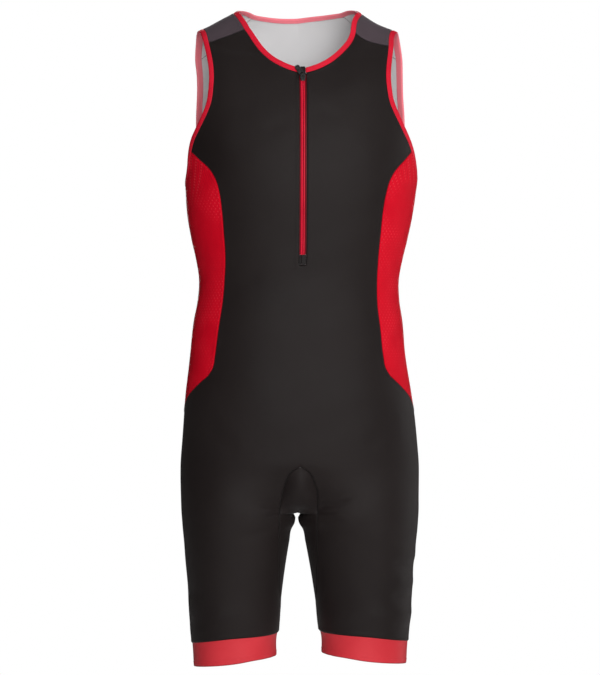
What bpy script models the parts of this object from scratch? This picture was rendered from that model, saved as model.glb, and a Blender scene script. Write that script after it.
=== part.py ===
# Sleeveless one-piece triathlon suit with short legs, standing filled out as it is worn.
# Metres, +Z up. The front faces -Y and the wearer's left is +X.
# The origin lies between the shoulders, level with the side of the neck.
#
# Every cloth piece is cut from one figure: a torso of rounded sections that closes over the
# shoulders and parts into two legs. A place on the figure is a wrap and a height. Wrap -1 is the
# centre front, or the inseam of a leg, 0 is the outer side and +1 is the centre back.
import math

import bmesh
import bpy
import numpy as np
from mathutils import Matrix, Vector

# Cloth
CLOTH = 0.0016               # wall of the body cloth
BAND_CLOTH = 0.0018          # wall of the leg gripper bands
HALF_GAP = 0.0002            # each piece is drawn back this far from its seam
BAND_INSET = 0.0012          # the bands lie this far inside the leg cloth
BINDING_WIDTH = 0.0078
BINDING_THICK = 0.0030

# Shoulders
SHOULDER_X = 0.0919          # a point on the shoulder line, at the side of the neck
SHOULDER_Z = -0.0033
SHOULDER_SLOPE = 0.488
SHOULDER_FOOT = -0.12        # below this height the chest no longer leans to the shoulder
SHOULDER_POWER = 2.5
TORSO_POWER = 2.3
LEG_POWER = 2.2

# Crotch
GUSSET_TOP = -0.655
CROTCH = -0.7245
CROTCH_POWER = 3.0
LEVEL_START = 0.8            # share of the gusset's height from which its section turns to the crotch's
PARTING_TOP = -0.650         # the torso starts to part into legs here
GUSSET_TIP = -0.862

# Seams that run down the side, just behind the outline
SIDE_WRAP = 0.05

# How the suit hangs: its lean to the wearer's left at a height, as height and distance
FRONT_LEAN = np.array([(0.000, 0.0000), (-0.035, 0.0014), (-0.060, 0.0032), (-0.080, 0.0041), (-0.100, 0.0043),
                       (-0.310, 0.0043), (-0.340, 0.0041), (-0.370, 0.0035), (-0.400, 0.0019), (-0.440, 0.0004),
                       (-0.480, 0.0000)])
OUTLINE_LEAN = np.array([(-0.120, 0.0000), (-0.170, 0.0010), (-0.260, 0.0010), (-0.310, -0.0008), (-0.390, -0.0016),
                         (-0.430, -0.0026), (-0.550, -0.0024), (-0.590, -0.0008), (-0.650, -0.0006), (-0.720, 0.0)])
THIGH_LEAN = np.array([(-0.690, 0.0000), (-0.715, -0.0034), (-0.731, -0.0047), (-0.752, -0.0042), (-0.800, -0.0035),
                       (-0.850, -0.0028), (-0.900, -0.0018), (-0.950, -0.0013)])
FRONT_REACH = 0.105          # depth at which the front leans in full
THIGH_NEAR = 0.030           # the lean between the thighs fades from here
THIGH_FAR = 0.150            # to here
THIGH_DEEP = 0.100
LOW_SHOULDER = 0.0026        # the wearer's left shoulder sits this much lower
LOW_SHOULDER_X = 0.117
LOW_SHOULDER_WIDE = 0.021
LOW_SHOULDER_FOOT = -0.080   # from this height up
LOW_SHOULDER_RISE = 0.045

# Lean of the neck and of the armholes: height, then at the neck, the front and the back of the
# armhole on the wearer's left, and the same on the wearer's right
ARM_LEAN = np.array([
    (0.0600, -0.0036, -0.0042, -0.0040, -0.0028, -0.0030, -0.0030),
    (-0.0080, -0.0034, -0.0042, -0.0040, -0.0028, -0.0030, -0.0030),
    (-0.0180, -0.0024, -0.0042, -0.0042, -0.0024, -0.0030, -0.0030),
    (-0.0300, -0.0012, -0.0040, -0.0042, -0.0006, -0.0035, -0.0030),
    (-0.0400, -0.0004, -0.0028, -0.0028, 0.0000, -0.0048, -0.0032),
    (-0.0500, 0.0000, -0.0010, -0.0014, 0.0000, -0.0055, -0.0038),
    (-0.0650, 0.0000, 0.0000, 0.0000, 0.0000, -0.0055, -0.0036),
    (-0.0850, 0.0000, 0.0000, 0.0000, 0.0000, -0.0055, -0.0010),
    (-0.1100, 0.0000, -0.0010, 0.0000, 0.0000, -0.0050, 0.0000),
    (-0.1300, 0.0000, -0.0018, 0.0000, 0.0000, -0.0040, 0.0000),
    (-0.1600, 0.0000, -0.0014, 0.0000, 0.0000, -0.0036, 0.0000),
    (-0.1850, 0.0000, -0.0012, 0.0000, 0.0000, -0.0042, 0.0000),
    (-0.2065, 0.0000, 0.0000, 0.0000, 0.0000, -0.0028, 0.0000),
    (-0.2280, 0.0000, 0.0000, 0.0000, 0.0000, 0.0000, 0.0000),
    (-0.2500, 0.0000, 0.0000, 0.0000, 0.0000, 0.0000, 0.0000),
])
ARM_NEAR = 0.075             # the lean of the armhole starts this far from the middle
ARM_FAR = 0.115              # and is full here
NECK_MIX = 0.030             # the neck's lean passes from one side to the other within this distance
ARM_MIX = 0.060              # the armhole's passes from front to back within this depth

# Tilt of the shoulders: x, lift of the shoulder line, lift of the yoke seam on the front
SHOULDER_TILT = np.array([
    (-0.130, 0.0000, 0.0034),
    (-0.087, 0.0015, 0.0048),
    (-0.060, 0.0003, 0.0022),
    (-0.020, 0.0000, 0.0000),
    (0.000, 0.0012, 0.0000),
    (0.020, 0.0028, 0.0000),
    (0.045, 0.0036, 0.0000),
    (0.065, 0.0036, -0.0022),
    (0.080, 0.0026, -0.0046),
    (0.092, 0.0010, -0.0036),
    (0.110, 0.0000, -0.0010),
    (0.130, 0.0000, 0.0000),
])
TILT_TOP = -0.020            # the lift of the shoulder line is full from this height up
TILT_SEAM = -0.045           # that of the yoke seam is full here
TILT_FOOT = -0.080           # and has faded out here

# The wearer's left leg ends a little higher: height, lift
HEM_TILT = np.array([(-0.790, 0.0000), (-0.850, 0.0008), (-0.890, 0.0022), (-0.905, 0.0028), (-0.920, 0.0034),
                     (-0.945, 0.0045), (-0.960, 0.0048)])
HEM_MIX = 0.030

# Zip
ZIP_TOP = -0.0985
ZIP_BOTTOM = -0.3550
SLOT_HALF = 0.0050
SLOT_TOP = -0.0962
SLOT_END = -0.3690
TAPE_INNER = 0.0004
TAPE_OUTER = 0.0049
TAPE_THICK = 0.0016
TEETH_RISE = 0.0007

# Sections of the torso: height, half width, depth of the front, depth of the back
TORSO = np.array([
    (0.060, 0.156, 0.066, 0.088),
    (0.000, 0.160, 0.074, 0.094),
    (-0.070, 0.167, 0.087, 0.105),
    (-0.130, 0.1705, 0.105, 0.115),
    (-0.200, 0.1700, 0.117, 0.116),
    (-0.250, 0.1675, 0.119, 0.110),
    (-0.306, 0.1614, 0.114, 0.101),
    (-0.331, 0.1562, 0.111, 0.097),
    (-0.357, 0.1500, 0.108, 0.093),
    (-0.389, 0.1447, 0.105, 0.090),
    (-0.418, 0.1462, 0.104, 0.091),
    (-0.448, 0.1512, 0.104, 0.094),
    (-0.493, 0.1555, 0.105, 0.102),
    (-0.555, 0.1638, 0.106, 0.114),
    (-0.620, 0.1702, 0.104, 0.123),
    (-0.651, 0.1724, 0.102, 0.123),
    (-0.679, 0.1727, 0.099, 0.118),
    (-0.721, 0.1720, 0.095, 0.108),
])

# Sections of a leg: height, inner x, outer x, depth of the front, depth of the back
LEG = np.array([
    (-0.640, 0.0000, 0.1719, 0.098, 0.118),
    (-0.700, 0.0000, 0.1724, 0.095, 0.108),
    (-0.7245, 0.0000, 0.1720, 0.093, 0.101),
    (-0.7263, 0.0004, 0.1719, 0.093, 0.101),
    (-0.7290, 0.0011, 0.1717, 0.093, 0.100),
    (-0.7325, 0.0018, 0.1714, 0.092, 0.100),
    (-0.7365, 0.0022, 0.1711, 0.092, 0.099),
    (-0.7410, 0.0034, 0.1707, 0.091, 0.098),
    (-0.748, 0.0076, 0.1701, 0.090, 0.096),
    (-0.767, 0.0115, 0.1680, 0.087, 0.092),
    (-0.793, 0.0162, 0.1660, 0.083, 0.087),
    (-0.825, 0.0212, 0.1633, 0.078, 0.081),
    (-0.854, 0.0250, 0.1618, 0.074, 0.077),
    (-0.882, 0.0273, 0.1600, 0.071, 0.073),
    (-0.899, 0.0290, 0.1585, 0.069, 0.071),
    (-0.915, 0.0302, 0.1572, 0.068, 0.070),
    (-0.950, 0.0318, 0.1552, 0.067, 0.068),
])

# The thighs part a little more just below the crotch: height, distance
LIP = np.array([(-0.7245, 0.0012), (-0.7263, 0.0038), (-0.7290, 0.0026), (-0.7325, 0.0)])
LIP_START = 0.93             # share of the way in from the outer side at which the lip starts

# Largest folds: signed x, height, half length, half width, rise (+) or sink (-), tilt in degrees,
# and -1 for the front or +1 for the back
FOLDS = np.array([
    (0.052, -0.712, 0.030, 0.010, -0.0028, 14.0, -1),
    (0.060, -0.738, 0.034, 0.011, 0.0022, 16.0, -1),
    (-0.048, -0.716, 0.026, 0.010, -0.0020, -16.0, -1),
    (-0.056, -0.742, 0.030, 0.011, 0.0016, -14.0, -1),
    (-0.085, -0.058, 0.030, 0.010, -0.0022, -14.0, -1),
    (0.150, -0.795, 0.020, 0.012, -0.0022, -20.0, -1),
    (0.148, -0.850, 0.020, 0.012, -0.0018, -12.0, -1),
    (0.070, -0.745, 0.055, 0.013, -0.0040, -8.0, 1),
    (-0.070, -0.747, 0.055, 0.013, -0.0040, 8.0, 1),
    (0.060, -0.405, 0.060, 0.014, -0.0030, 5.0, 1),
    (-0.064, -0.412, 0.060, 0.014, -0.0030, -6.0, 1),
    (0.050, -0.440, 0.050, 0.014, 0.0022, 4.0, 1),
    (-0.050, -0.378, 0.050, 0.014, 0.0022, -4.0, 1),
])

# Cloth edge of the neck, front then back: x, height
NECK_FRONT = [(SLOT_HALF, SLOT_TOP), (0.0228, -0.0902), (0.0432, -0.0792), (0.0572, -0.0672),
              (0.0695, -0.0518), (0.0797, -0.0345)]
NECK_BACK = [(0.0, -0.0090), (0.0384, -0.0073), (0.0690, -0.0046)]
NECK_TOP_X = 0.0912          # where the neck edge crosses the top of the shoulder

# Cloth edge of the armhole on the front and on the back: x, height
ARMHOLE_FRONT = [(0.1272, -0.0524), (0.1241, -0.0665), (0.1211, -0.0885), (0.1211, -0.1028),
                 (0.1234, -0.1200), (0.1268, -0.1371), (0.1337, -0.1542), (0.1433, -0.1743),
                 (0.1528, -0.1935), (0.1568, -0.2056)]
ARMHOLE_BACK = [(0.1452, -0.0650), (0.1461, -0.0900), (0.1468, -0.1130), (0.1488, -0.1490),
                (0.1494, -0.1750), (0.1512, -0.2020)]
ARMHOLE_TOP_X = 0.1395       # where the armhole edge crosses the top of the shoulder
ARMHOLE_BOTTOM = -0.2540
# The lowest part of the armhole, round the side: wrap, height
ARMHOLE_UNDER = [(-0.17, -0.2290), (-0.07, -0.2490), (0.0, -0.2540), (SIDE_WRAP, -0.2540)]

# Seam between the front and the side panel: x, height, then its last stretch over the hip
SIDE_SEAM_FRONT = [(0.1568, -0.2056), (0.1455, -0.2190), (0.1325, -0.2335), (0.1240, -0.2480),
                   (0.1178, -0.2700), (0.1140, -0.2950), (0.1115, -0.3240), (0.1090, -0.3570),
                   (0.1086, -0.3860), (0.1103, -0.4220), (0.1155, -0.4600), (0.1198, -0.4970),
                   (0.1232, -0.5150), (0.1306, -0.5270)]
HIP_SEAM = [(0.1306, -0.5270), (0.1420, -0.5370), (0.1530, -0.5480), (0.1612, -0.5590)]
HIP_END = -0.5830            # where it meets the back seam, at SIDE_WRAP

# Edge of the gusset on the front and on the back of the thigh: x, height
GUSSET_EDGE = [(0.0000, GUSSET_TOP), (0.0135, -0.6640), (0.0200, -0.6784), (0.0240, -0.6916),
               (0.0258, -0.7020), (0.0264, -0.7102), (0.0266, -0.7164), (0.0268, -0.7215),
               (0.0268, CROTCH), (0.0268, -0.7263), (0.0268, -0.7295), (0.0269, -0.7345),
               (0.0269, -0.7400), (0.0269, -0.7520), (0.0270, -0.7800), (0.0270, -0.8080),
               (0.0266, -0.8360)]
GUSSET_ROWS = 8              # of its edge points, down to the crotch; the rest run down the arms

# Seam of the leg bands and their hem: wrap without its sign, height of the seam, of the hem
BAND = np.array([
    (0.00, -0.9143, -0.9480),
    (0.25, -0.9085, -0.9440),
    (0.50, -0.9022, -0.9390),
    (0.65, -0.9003, -0.9346),
    (0.80, -0.8990, -0.9325),
    (0.92, -0.8982, -0.9315),
    (1.00, -0.8980, -0.9313),
])

# Grid of the body panels
NECK_COLUMNS = 6
YOKE_COLUMNS = 4
YOKE_ROWS = 10
COLUMNS = NECK_COLUMNS + YOKE_COLUMNS
FRONT_ARM_ROWS = 9
BACK_ARM_ROWS = 14
SIDE_ROWS = 18
HIP_ROWS = 5
LEG_ROWS = 20
ROWS = FRONT_ARM_ROWS + SIDE_ROWS + HIP_ROWS + LEG_ROWS
SLOT_ROWS = 18
INSEAM_ROWS = 2
EDGE_ROWS = len(GUSSET_EDGE)
GUSSET_COLUMNS = 5
BAND_ROWS = 3

# Slider and pull, in the slider's own frame: across, up the zip, out from the cloth
SLIDER_Z = -0.1040
SLIDER_WIDTH = 0.0082
SLIDER_LENGTH = 0.0108
SLIDER_THICK = 0.0022
SLIDER_LIFT = 0.0011
BRIDGE_WIDTH = 0.0016
BRIDGE_HALF = 0.0022
BRIDGE_WALL = 0.0010
BRIDGE_END = 0.0008          # its top slopes over this length at both ends
PIVOT_UP = 0.0020            # the bridge and the pull's bar lie this far up from the middle of the slider
PIVOT_RISE = 0.0014
BAR_RADIUS = 0.00055
PULL_LEAN = 30.0
PULL_TILT = 5.0              # its far end leans this much back to the cloth
PULL_LENGTH = 0.0182
PULL_WIDTH = 0.0070
PULL_THICK = 0.0014
EYE_WIDTH = 0.0048
EYE_LENGTH = 0.0046
PULL_CORNER = 0.0022
GUARD_WIDTH = 0.0072
GUARD_TOP = -0.0874
GUARD_BOTTOM = -0.0972
GUARD_RISE = 0.0008

# Colour, roughness and metallic value of each finish
FINISHES = {
    "black_cloth": ((0.024, 0.021, 0.021, 1.0), 0.62, 0.0),
    "side_cloth": ((0.56, 0.012, 0.025, 1.0), 0.60, 0.0),
    "yoke_cloth": ((0.085, 0.066, 0.080, 1.0), 0.75, 0.0),
    "binding_cloth": ((0.66, 0.015, 0.035, 1.0), 0.55, 0.0),
    "gripper_band": ((0.62, 0.040, 0.055, 1.0), 0.50, 0.0),
    "zip_tape": ((0.70, 0.012, 0.045, 1.0), 0.50, 0.0),
    "zip_metal": ((0.020, 0.020, 0.022, 1.0), 0.35, 0.0),
}


def smooth_at(known, values, at):
    """Value at a place: a smooth curve through the known values, which end flat."""
    order = np.argsort(known)
    known, values = np.asarray(known)[order], np.asarray(values)[order]
    slope = np.gradient(values, known)
    at = np.clip(at, known[0], known[-1])
    i = np.clip(np.searchsorted(known, at) - 1, 0, len(known) - 2)
    step = known[i + 1] - known[i]
    t = (at - known[i]) / step
    start = (2 * t ** 3 - 3 * t ** 2 + 1) * values[i] + (t ** 3 - 2 * t ** 2 + t) * step * slope[i]
    return start + (3 * t ** 2 - 2 * t ** 3) * values[i + 1] + (t ** 3 - t ** 2) * step * slope[i + 1]


def smoothstep(t):
    t = np.clip(t, 0.0, 1.0)
    return t * t * (3 - 2 * t)


def parting(z):
    """How far the torso has parted into legs at a height, from 0 to 1."""
    return smoothstep((PARTING_TOP - z) / (PARTING_TOP - CROTCH))


def outer_x(z):
    torso = smooth_at(TORSO[:, 0], TORSO[:, 1], z)
    leg = smooth_at(LEG[:, 0], LEG[:, 2], z)
    return torso + (leg - torso) * parting(z)


def inner_x(z):
    return np.where(z < CROTCH, smooth_at(LEG[:, 0], LEG[:, 1], z), 0.0)


def shoulder_top(x):
    """Height of the shoulder line over a place."""
    return SHOULDER_Z - SHOULDER_SLOPE * (x - SHOULDER_X)


def torso_depth(x, z, back):
    """Depth of the torso, front or back: a rounded section that closes over the shoulder."""
    depth = np.where(back, smooth_at(TORSO[:, 0], TORSO[:, 3], z), smooth_at(TORSO[:, 0], TORSO[:, 2], z))
    across = np.clip(x / outer_x(z), 0.0, 1.0)
    rise = np.clip((z - SHOULDER_FOOT) / (shoulder_top(x) - SHOULDER_FOOT), 0.0, 1.0)
    lean = (1 - rise ** SHOULDER_POWER) ** (1 / SHOULDER_POWER)
    return depth * (1 - across ** TORSO_POWER) ** (1 / TORSO_POWER) * lean


def leg_depth(x, z, back):
    depth = np.where(back, smooth_at(LEG[:, 0], LEG[:, 4], z), smooth_at(LEG[:, 0], LEG[:, 3], z))
    centre, radius = (outer_x(z) + inner_x(z)) / 2, (outer_x(z) - inner_x(z)) / 2
    across = np.clip(np.abs(x - centre) / radius, 0.0, 1.0)
    return depth * (1 - across ** LEG_POWER) ** (1 / LEG_POWER)


def fold_rise(x, z, back):
    """How far the folds lift the cloth at a place: each is a soft mound, longer than wide."""
    rise = np.zeros_like(x)
    for fold_x, fold_z, length, width, height, tilt, side in FOLDS:
        along = (x - fold_x) * math.cos(math.radians(tilt)) + (z - fold_z) * math.sin(math.radians(tilt))
        across = (z - fold_z) * math.cos(math.radians(tilt)) - (x - fold_x) * math.sin(math.radians(tilt))
        mound = height * np.exp(-(along / length) ** 2 - (across / width) ** 2)
        rise = rise + np.where(back == (side > 0), mound, 0.0)
    return rise


def share_at(reach, z):
    """How much of the way in from the outer side a wrap reaches at a height."""
    torso = 1 - np.cos(math.pi / 2 * reach)
    leg = (1 - np.cos(math.pi * reach)) / 2
    return torso + (leg - torso) * parting(z)


def wrap_at(x, z, side):
    """Wrap of a place that is given by its x, on the front (-1) or on the back (+1)."""
    reach = np.linspace(0.0, 1.0, 2001)
    wanted = (outer_x(z) - x) / (outer_x(z) - inner_x(z))
    return side * float(np.interp(wanted, share_at(reach, z), reach))


def arm_lean(x, y, z):
    """How far the neck and the armholes lean to the wearer's left at a place."""
    outer = smoothstep((np.abs(x) - ARM_NEAR) / (ARM_FAR - ARM_NEAR))
    back = np.clip(0.5 + y / ARM_MIX, 0.0, 1.0)
    sides = []
    for first in (1, 4):
        neck, front, rear = (smooth_at(ARM_LEAN[:, 0], ARM_LEAN[:, first + k], z) for k in range(3))
        sides.append(neck + (front + (rear - front) * back - neck) * outer)
    return sides[1] + (sides[0] - sides[1]) * smoothstep(0.5 + x / (2 * NECK_MIX))


def tilt_lift(x, y, z):
    """How far the tilt of the shoulders and of the left hem lifts a place."""
    top = smoothstep((z - TILT_SEAM) / (TILT_TOP - TILT_SEAM))
    seam = smoothstep((z - TILT_FOOT) / (TILT_SEAM - TILT_FOOT)) * (1 - top) * np.clip(0.5 - y / ARM_MIX, 0.0, 1.0)
    shoulder = smooth_at(SHOULDER_TILT[:, 0], SHOULDER_TILT[:, 1], x) * top
    yoke = smooth_at(SHOULDER_TILT[:, 0], SHOULDER_TILT[:, 2], x) * seam
    return shoulder + yoke + smooth_at(*HEM_TILT.T, z) * smoothstep(x / HEM_MIX)


def stance(points):
    """Points of the even figure, moved to the way that the suit hangs."""
    x, y, z = points[..., 0], points[..., 1], points[..., 2]
    across = np.clip(np.abs(x) / outer_x(z), 0.0, 1.0)
    front = smooth_at(*FRONT_LEAN.T, z) * np.clip(-y / FRONT_REACH, 0.0, 1.0)
    outline = smooth_at(*OUTLINE_LEAN.T, z) * across ** 4
    near = smoothstep((THIGH_FAR - np.abs(x)) / (THIGH_FAR - THIGH_NEAR))
    deep = np.clip(np.abs(y) / THIGH_DEEP, 0.0, 1.0)
    thigh = smooth_at(*THIGH_LEAN.T, z) * near * (1 - deep * deep)
    above = smoothstep((z - LOW_SHOULDER_FOOT) / LOW_SHOULDER_RISE)
    drop = LOW_SHOULDER * np.exp(-((x - LOW_SHOULDER_X) / LOW_SHOULDER_WIDE) ** 2) * above
    lean = front + outline + thigh + arm_lean(x, y, z)
    return np.stack([x + lean, y, z - drop + tilt_lift(x, y, z)], axis=-1)


def even_figure(wrap, z, hand):
    """Points of the figure before it leans, for arrays of wraps and heights, hand +1 or -1."""
    reach, back = np.clip(np.abs(wrap), 0.0, 1.0), wrap > 0
    share = share_at(reach, z)
    x = outer_x(z) - (outer_x(z) - inner_x(z)) * share
    depth = torso_depth(x, z, back)
    depth = depth + (leg_depth(x, z, back) - depth) * parting(z)
    fade = np.clip(depth / 0.03, 0.0, 1.0)
    depth = depth + fold_rise(hand * x, z, back) * fade
    lip = np.where(z < CROTCH, smooth_at(*LIP.T, z), 0.0) * smoothstep((share - LIP_START) / (1 - LIP_START))
    return np.stack([hand * (x + lip), np.where(back, depth, -depth), z], axis=-1)


def figure(wrap, z, hand):
    return stance(even_figure(wrap, z, hand))


def outward(wrap, z, hand):
    """Unit normals of the figure, from small steps of the wrap and of the height."""
    step = 0.002
    low, high = np.clip(wrap - step, -1.0, 1.0), np.clip(wrap + step, -1.0, 1.0)
    around = figure(high, z, hand) - figure(low, z, hand)
    down = figure(wrap, z - step, hand) - figure(wrap, z + step, hand)
    normal = np.cross(around, down) * -hand
    on_centre = (np.abs(wrap) > 0.999) & (z > GUSSET_TOP - 0.001)
    normal[..., 0] = np.where(on_centre, 0.0, normal[..., 0])
    return normal / np.linalg.norm(normal, axis=-1, keepdims=True)


def even_arch(x, angle, hand):
    """Point over the shoulder: 0 degrees is its front foot, 90 the top, 180 its back foot."""
    power = 2 / SHOULDER_POWER
    back = angle > 90.0
    rise = np.sin(np.radians(angle)) ** power
    z = SHOULDER_FOOT + (shoulder_top(x) - SHOULDER_FOOT) * rise
    lean = np.abs(np.cos(np.radians(angle))) ** power
    across = np.clip(x / outer_x(z), 0.0, 1.0)
    depth = np.where(back, smooth_at(TORSO[:, 0], TORSO[:, 3], z), smooth_at(TORSO[:, 0], TORSO[:, 2], z))
    depth = depth * (1 - across ** TORSO_POWER) ** (1 / TORSO_POWER) * lean
    depth = depth + fold_rise(hand * x, z, back) * np.clip(depth / 0.03, 0.0, 1.0)
    return np.stack([hand * x, np.where(back, depth, -depth), z], axis=-1)


def arch(x, angle, hand):
    return stance(even_arch(x, angle, hand))


def arch_outward(x, angle, hand):
    step = 0.4
    along = arch(x, angle + step, hand) - arch(x, angle - step, hand)
    across = arch(x + 0.0006, angle, hand) - arch(x - 0.0006, angle, hand)
    normal = np.cross(across, along) * hand
    return normal / np.linalg.norm(normal, axis=-1, keepdims=True)


def arch_angle(x, z, side):
    """Angle of the arch at which a place lies, on the front (-1) or on the back (+1)."""
    rise = (z - SHOULDER_FOOT) / (shoulder_top(x) - SHOULDER_FOOT)
    angle = math.degrees(math.asin(rise ** (SHOULDER_POWER / 2)))
    return angle if side < 0 else 180.0 - angle


def spaced(points, count):
    """A smooth curve through points, cut into even stretches."""
    points = np.array(points, dtype=float)
    length = np.concatenate([[0.0], np.cumsum(np.linalg.norm(np.diff(points, axis=0), axis=1))])
    fine = np.linspace(0.0, length[-1], 60 * len(points))
    curve = np.stack([smooth_at(length, points[:, i], fine) for i in range(2)], axis=-1)
    travel = np.concatenate([[0.0], np.cumsum(np.linalg.norm(np.diff(curve, axis=0), axis=1))])
    wanted = np.linspace(0.0, travel[-1], count + 1)
    return np.stack([np.interp(wanted, travel, curve[:, i]) for i in range(2)], axis=-1)


def wrapped(points, side):
    """Places given as x and height, turned into wrap and height."""
    return np.array([(wrap_at(x, z, side), z) for x, z in points])


# Seams shared by two pieces, as rows of wrap and height
YOKE_CORNERS = {"front_neck": NECK_FRONT[-1], "front_arm": ARMHOLE_FRONT[0],
                "back_neck": NECK_BACK[-1], "back_arm": ARMHOLE_BACK[0]}


def yoke_places():
    """Grid of x and arch angle of a yoke: rows run over the shoulder, columns neck to armhole."""
    (fnx, fnz), (fax, faz) = YOKE_CORNERS["front_neck"], YOKE_CORNERS["front_arm"]
    (bnx, bnz), (bax, baz) = YOKE_CORNERS["back_neck"], YOKE_CORNERS["back_arm"]
    neck_angles = (arch_angle(fnx, fnz, -1), 90.0, arch_angle(bnx, bnz, 1))
    arm_angles = (arch_angle(fax, faz, -1), 90.0, arch_angle(bax, baz, 1))
    t = np.linspace(0.0, 1.0, YOKE_ROWS + 1)[:, None]
    across = np.linspace(0.0, 1.0, YOKE_COLUMNS + 1)[None, :]
    bulge = 2.2 * np.sin(math.pi * across) * (1 - t) ** 2
    neck_angle = neck_angles[0] + (neck_angles[2] - neck_angles[0]) * t
    arm_angle = arm_angles[0] + (arm_angles[2] - arm_angles[0]) * t
    neck_x = smooth_at(neck_angles, (fnx, NECK_TOP_X, bnx), neck_angle)
    arm_x = smooth_at(arm_angles, (fax, ARMHOLE_TOP_X, bax), arm_angle)
    angle = neck_angle + (arm_angle - neck_angle) * across - bulge
    x = neck_x + (arm_x - neck_x) * across
    return x, angle


def yoke_seam(side):
    """The seam between a yoke and the front (-1) or the back (+1), as wrap and height."""
    x, angle = yoke_places()
    row = 0 if side < 0 else -1
    z = even_arch(x[row], angle[row], 1)[:, 2]
    return np.array([(wrap_at(a, b, side), b) for a, b in zip(x[row], z)])


def seams():
    """Every seam and edge that a panel ends on, as rows of wrap and height."""
    front_corner = wrap_at(*ARMHOLE_FRONT[-1], -1)
    back_under = [(wrap_at(*ARMHOLE_BACK[-1], 1), ARMHOLE_BACK[-1][1]), (0.16, -0.2360), (SIDE_WRAP, ARMHOLE_BOTTOM)]
    back_arm = np.concatenate([wrapped(ARMHOLE_BACK[:-1], 1), back_under])
    hip = np.concatenate([wrapped(HIP_SEAM, -1), [(-0.02, -0.5745), (SIDE_WRAP, HIP_END)]])
    band_top = smooth_at(BAND[:, 0], BAND[:, 1], SIDE_WRAP)
    edge = {side: wrapped(GUSSET_EDGE, side) for side in (-1, 1)}
    tip = {side: np.array([(side * 1.0, GUSSET_TIP)]) for side in (-1, 1)}
    inseam = np.linspace(GUSSET_TIP, BAND[-1, 1], INSEAM_ROWS + 1)[1:]
    return {
        "neck_front": wrapped(spaced(NECK_FRONT, NECK_COLUMNS), -1),
        "neck_back": wrapped(spaced(NECK_BACK, NECK_COLUMNS), 1),
        "arm_front": wrapped(spaced(ARMHOLE_FRONT, FRONT_ARM_ROWS), -1),
        "arm_under": spaced_wrap([(front_corner, ARMHOLE_FRONT[-1][1])] + ARMHOLE_UNDER, HIP_ROWS),
        "arm_back": spaced_wrap(back_arm, BACK_ARM_ROWS),
        "side_front": wrapped(spaced(SIDE_SEAM_FRONT, SIDE_ROWS), -1),
        "hip": spaced_wrap(hip, HIP_ROWS),
        "side_back": np.stack([np.full(SIDE_ROWS + 1, SIDE_WRAP),
                               np.linspace(ARMHOLE_BOTTOM, HIP_END, SIDE_ROWS + 1)], axis=-1),
        "leg_side": np.stack([np.full(LEG_ROWS + 1, SIDE_WRAP),
                              np.linspace(HIP_END, band_top, LEG_ROWS + 1)], axis=-1),
        "gusset_front": np.concatenate([edge[-1], tip[-1]]),
        "gusset_back": np.concatenate([edge[1], tip[1]]),
        "inseam_front": np.stack([np.full(INSEAM_ROWS, -1.0), inseam], axis=-1),
        "inseam_back": np.stack([np.full(INSEAM_ROWS, 1.0), inseam], axis=-1),
    }


def spaced_wrap(places, count):
    """Even stretches along a curve of wrap and height, with a wrap taken as a quarter metre."""
    scale = np.array([0.25, 1.0])
    return spaced(np.array(places, dtype=float) * scale, count) / scale


def band_seam(side):
    """Top of the leg band on the front (-1) or back (+1), from the inseam to the side seam."""
    wrap = np.linspace(side * 1.0, SIDE_WRAP, COLUMNS + 1)
    return np.stack([wrap, smooth_at(BAND[:, 0], BAND[:, 1], np.abs(wrap))], axis=-1)


def patch(inner, outer, top, bottom):
    """Grid of wrap and height between four edges; top and bottom fade out over the first rows."""
    rows, columns = len(inner), len(top)
    across = np.linspace(0.0, 1.0, columns)[None, :, None]
    down = np.linspace(0.0, 1.0, rows)[:, None, None]
    grid = inner[:, None, :] * (1 - across) + outer[:, None, :] * across
    top_line = top[0] * (1 - across) + top[-1] * across
    bottom_line = bottom[0] * (1 - across) + bottom[-1] * across
    grid = grid + (top[None] - top_line) * (1 - down) ** 4
    grid = grid + (bottom[None] - bottom_line) * down ** 4
    grid[0], grid[-1] = top, bottom
    grid[:, 0], grid[:, -1] = inner, outer
    return grid


def drawn_back(points, top=True, bottom=True, first=None, last=True):
    """Draws the edges of a grid of points back from their seams, along the grid."""
    moved = points.copy()

    def towards(edge, inside):
        way = inside - edge
        return way / np.maximum(np.linalg.norm(way, axis=-1, keepdims=True), 1e-9) * HALF_GAP

    if top:
        moved[0] += towards(points[0], points[1])
    if bottom:
        moved[-1] += towards(points[-1], points[-2])
    if first is not None:
        moved[:, 0] += towards(points[:, 0], points[:, 1]) * first[:, None]
    if last:
        moved[:, -1] += towards(points[:, -1], points[:, -2])
    return moved


def grid_faces(rows, columns, start=0, closed=False):
    """Faces of a grid whose points are listed row by row."""
    i, j = np.meshgrid(np.arange(rows - 1), np.arange(columns if closed else columns - 1), indexing="ij")
    k = (j + 1) % columns
    faces = np.stack([i * columns + j, i * columns + k, (i + 1) * columns + k, (i + 1) * columns + j], -1)
    return faces.reshape(-1, 4) + start


def turned(faces):
    """The same faces seen from behind, still split along the same diagonal."""
    return faces[:, [0, 3, 2, 1]]


def finish_material(finish):
    colour, roughness, metallic = FINISHES[finish]
    material = bpy.data.materials.new(finish)
    material.use_nodes = True
    shader = material.node_tree.nodes["Principled BSDF"]
    shader.inputs["Base Color"].default_value = colour
    shader.inputs["Roughness"].default_value = roughness
    shader.inputs["Metallic"].default_value = metallic
    return material


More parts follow.
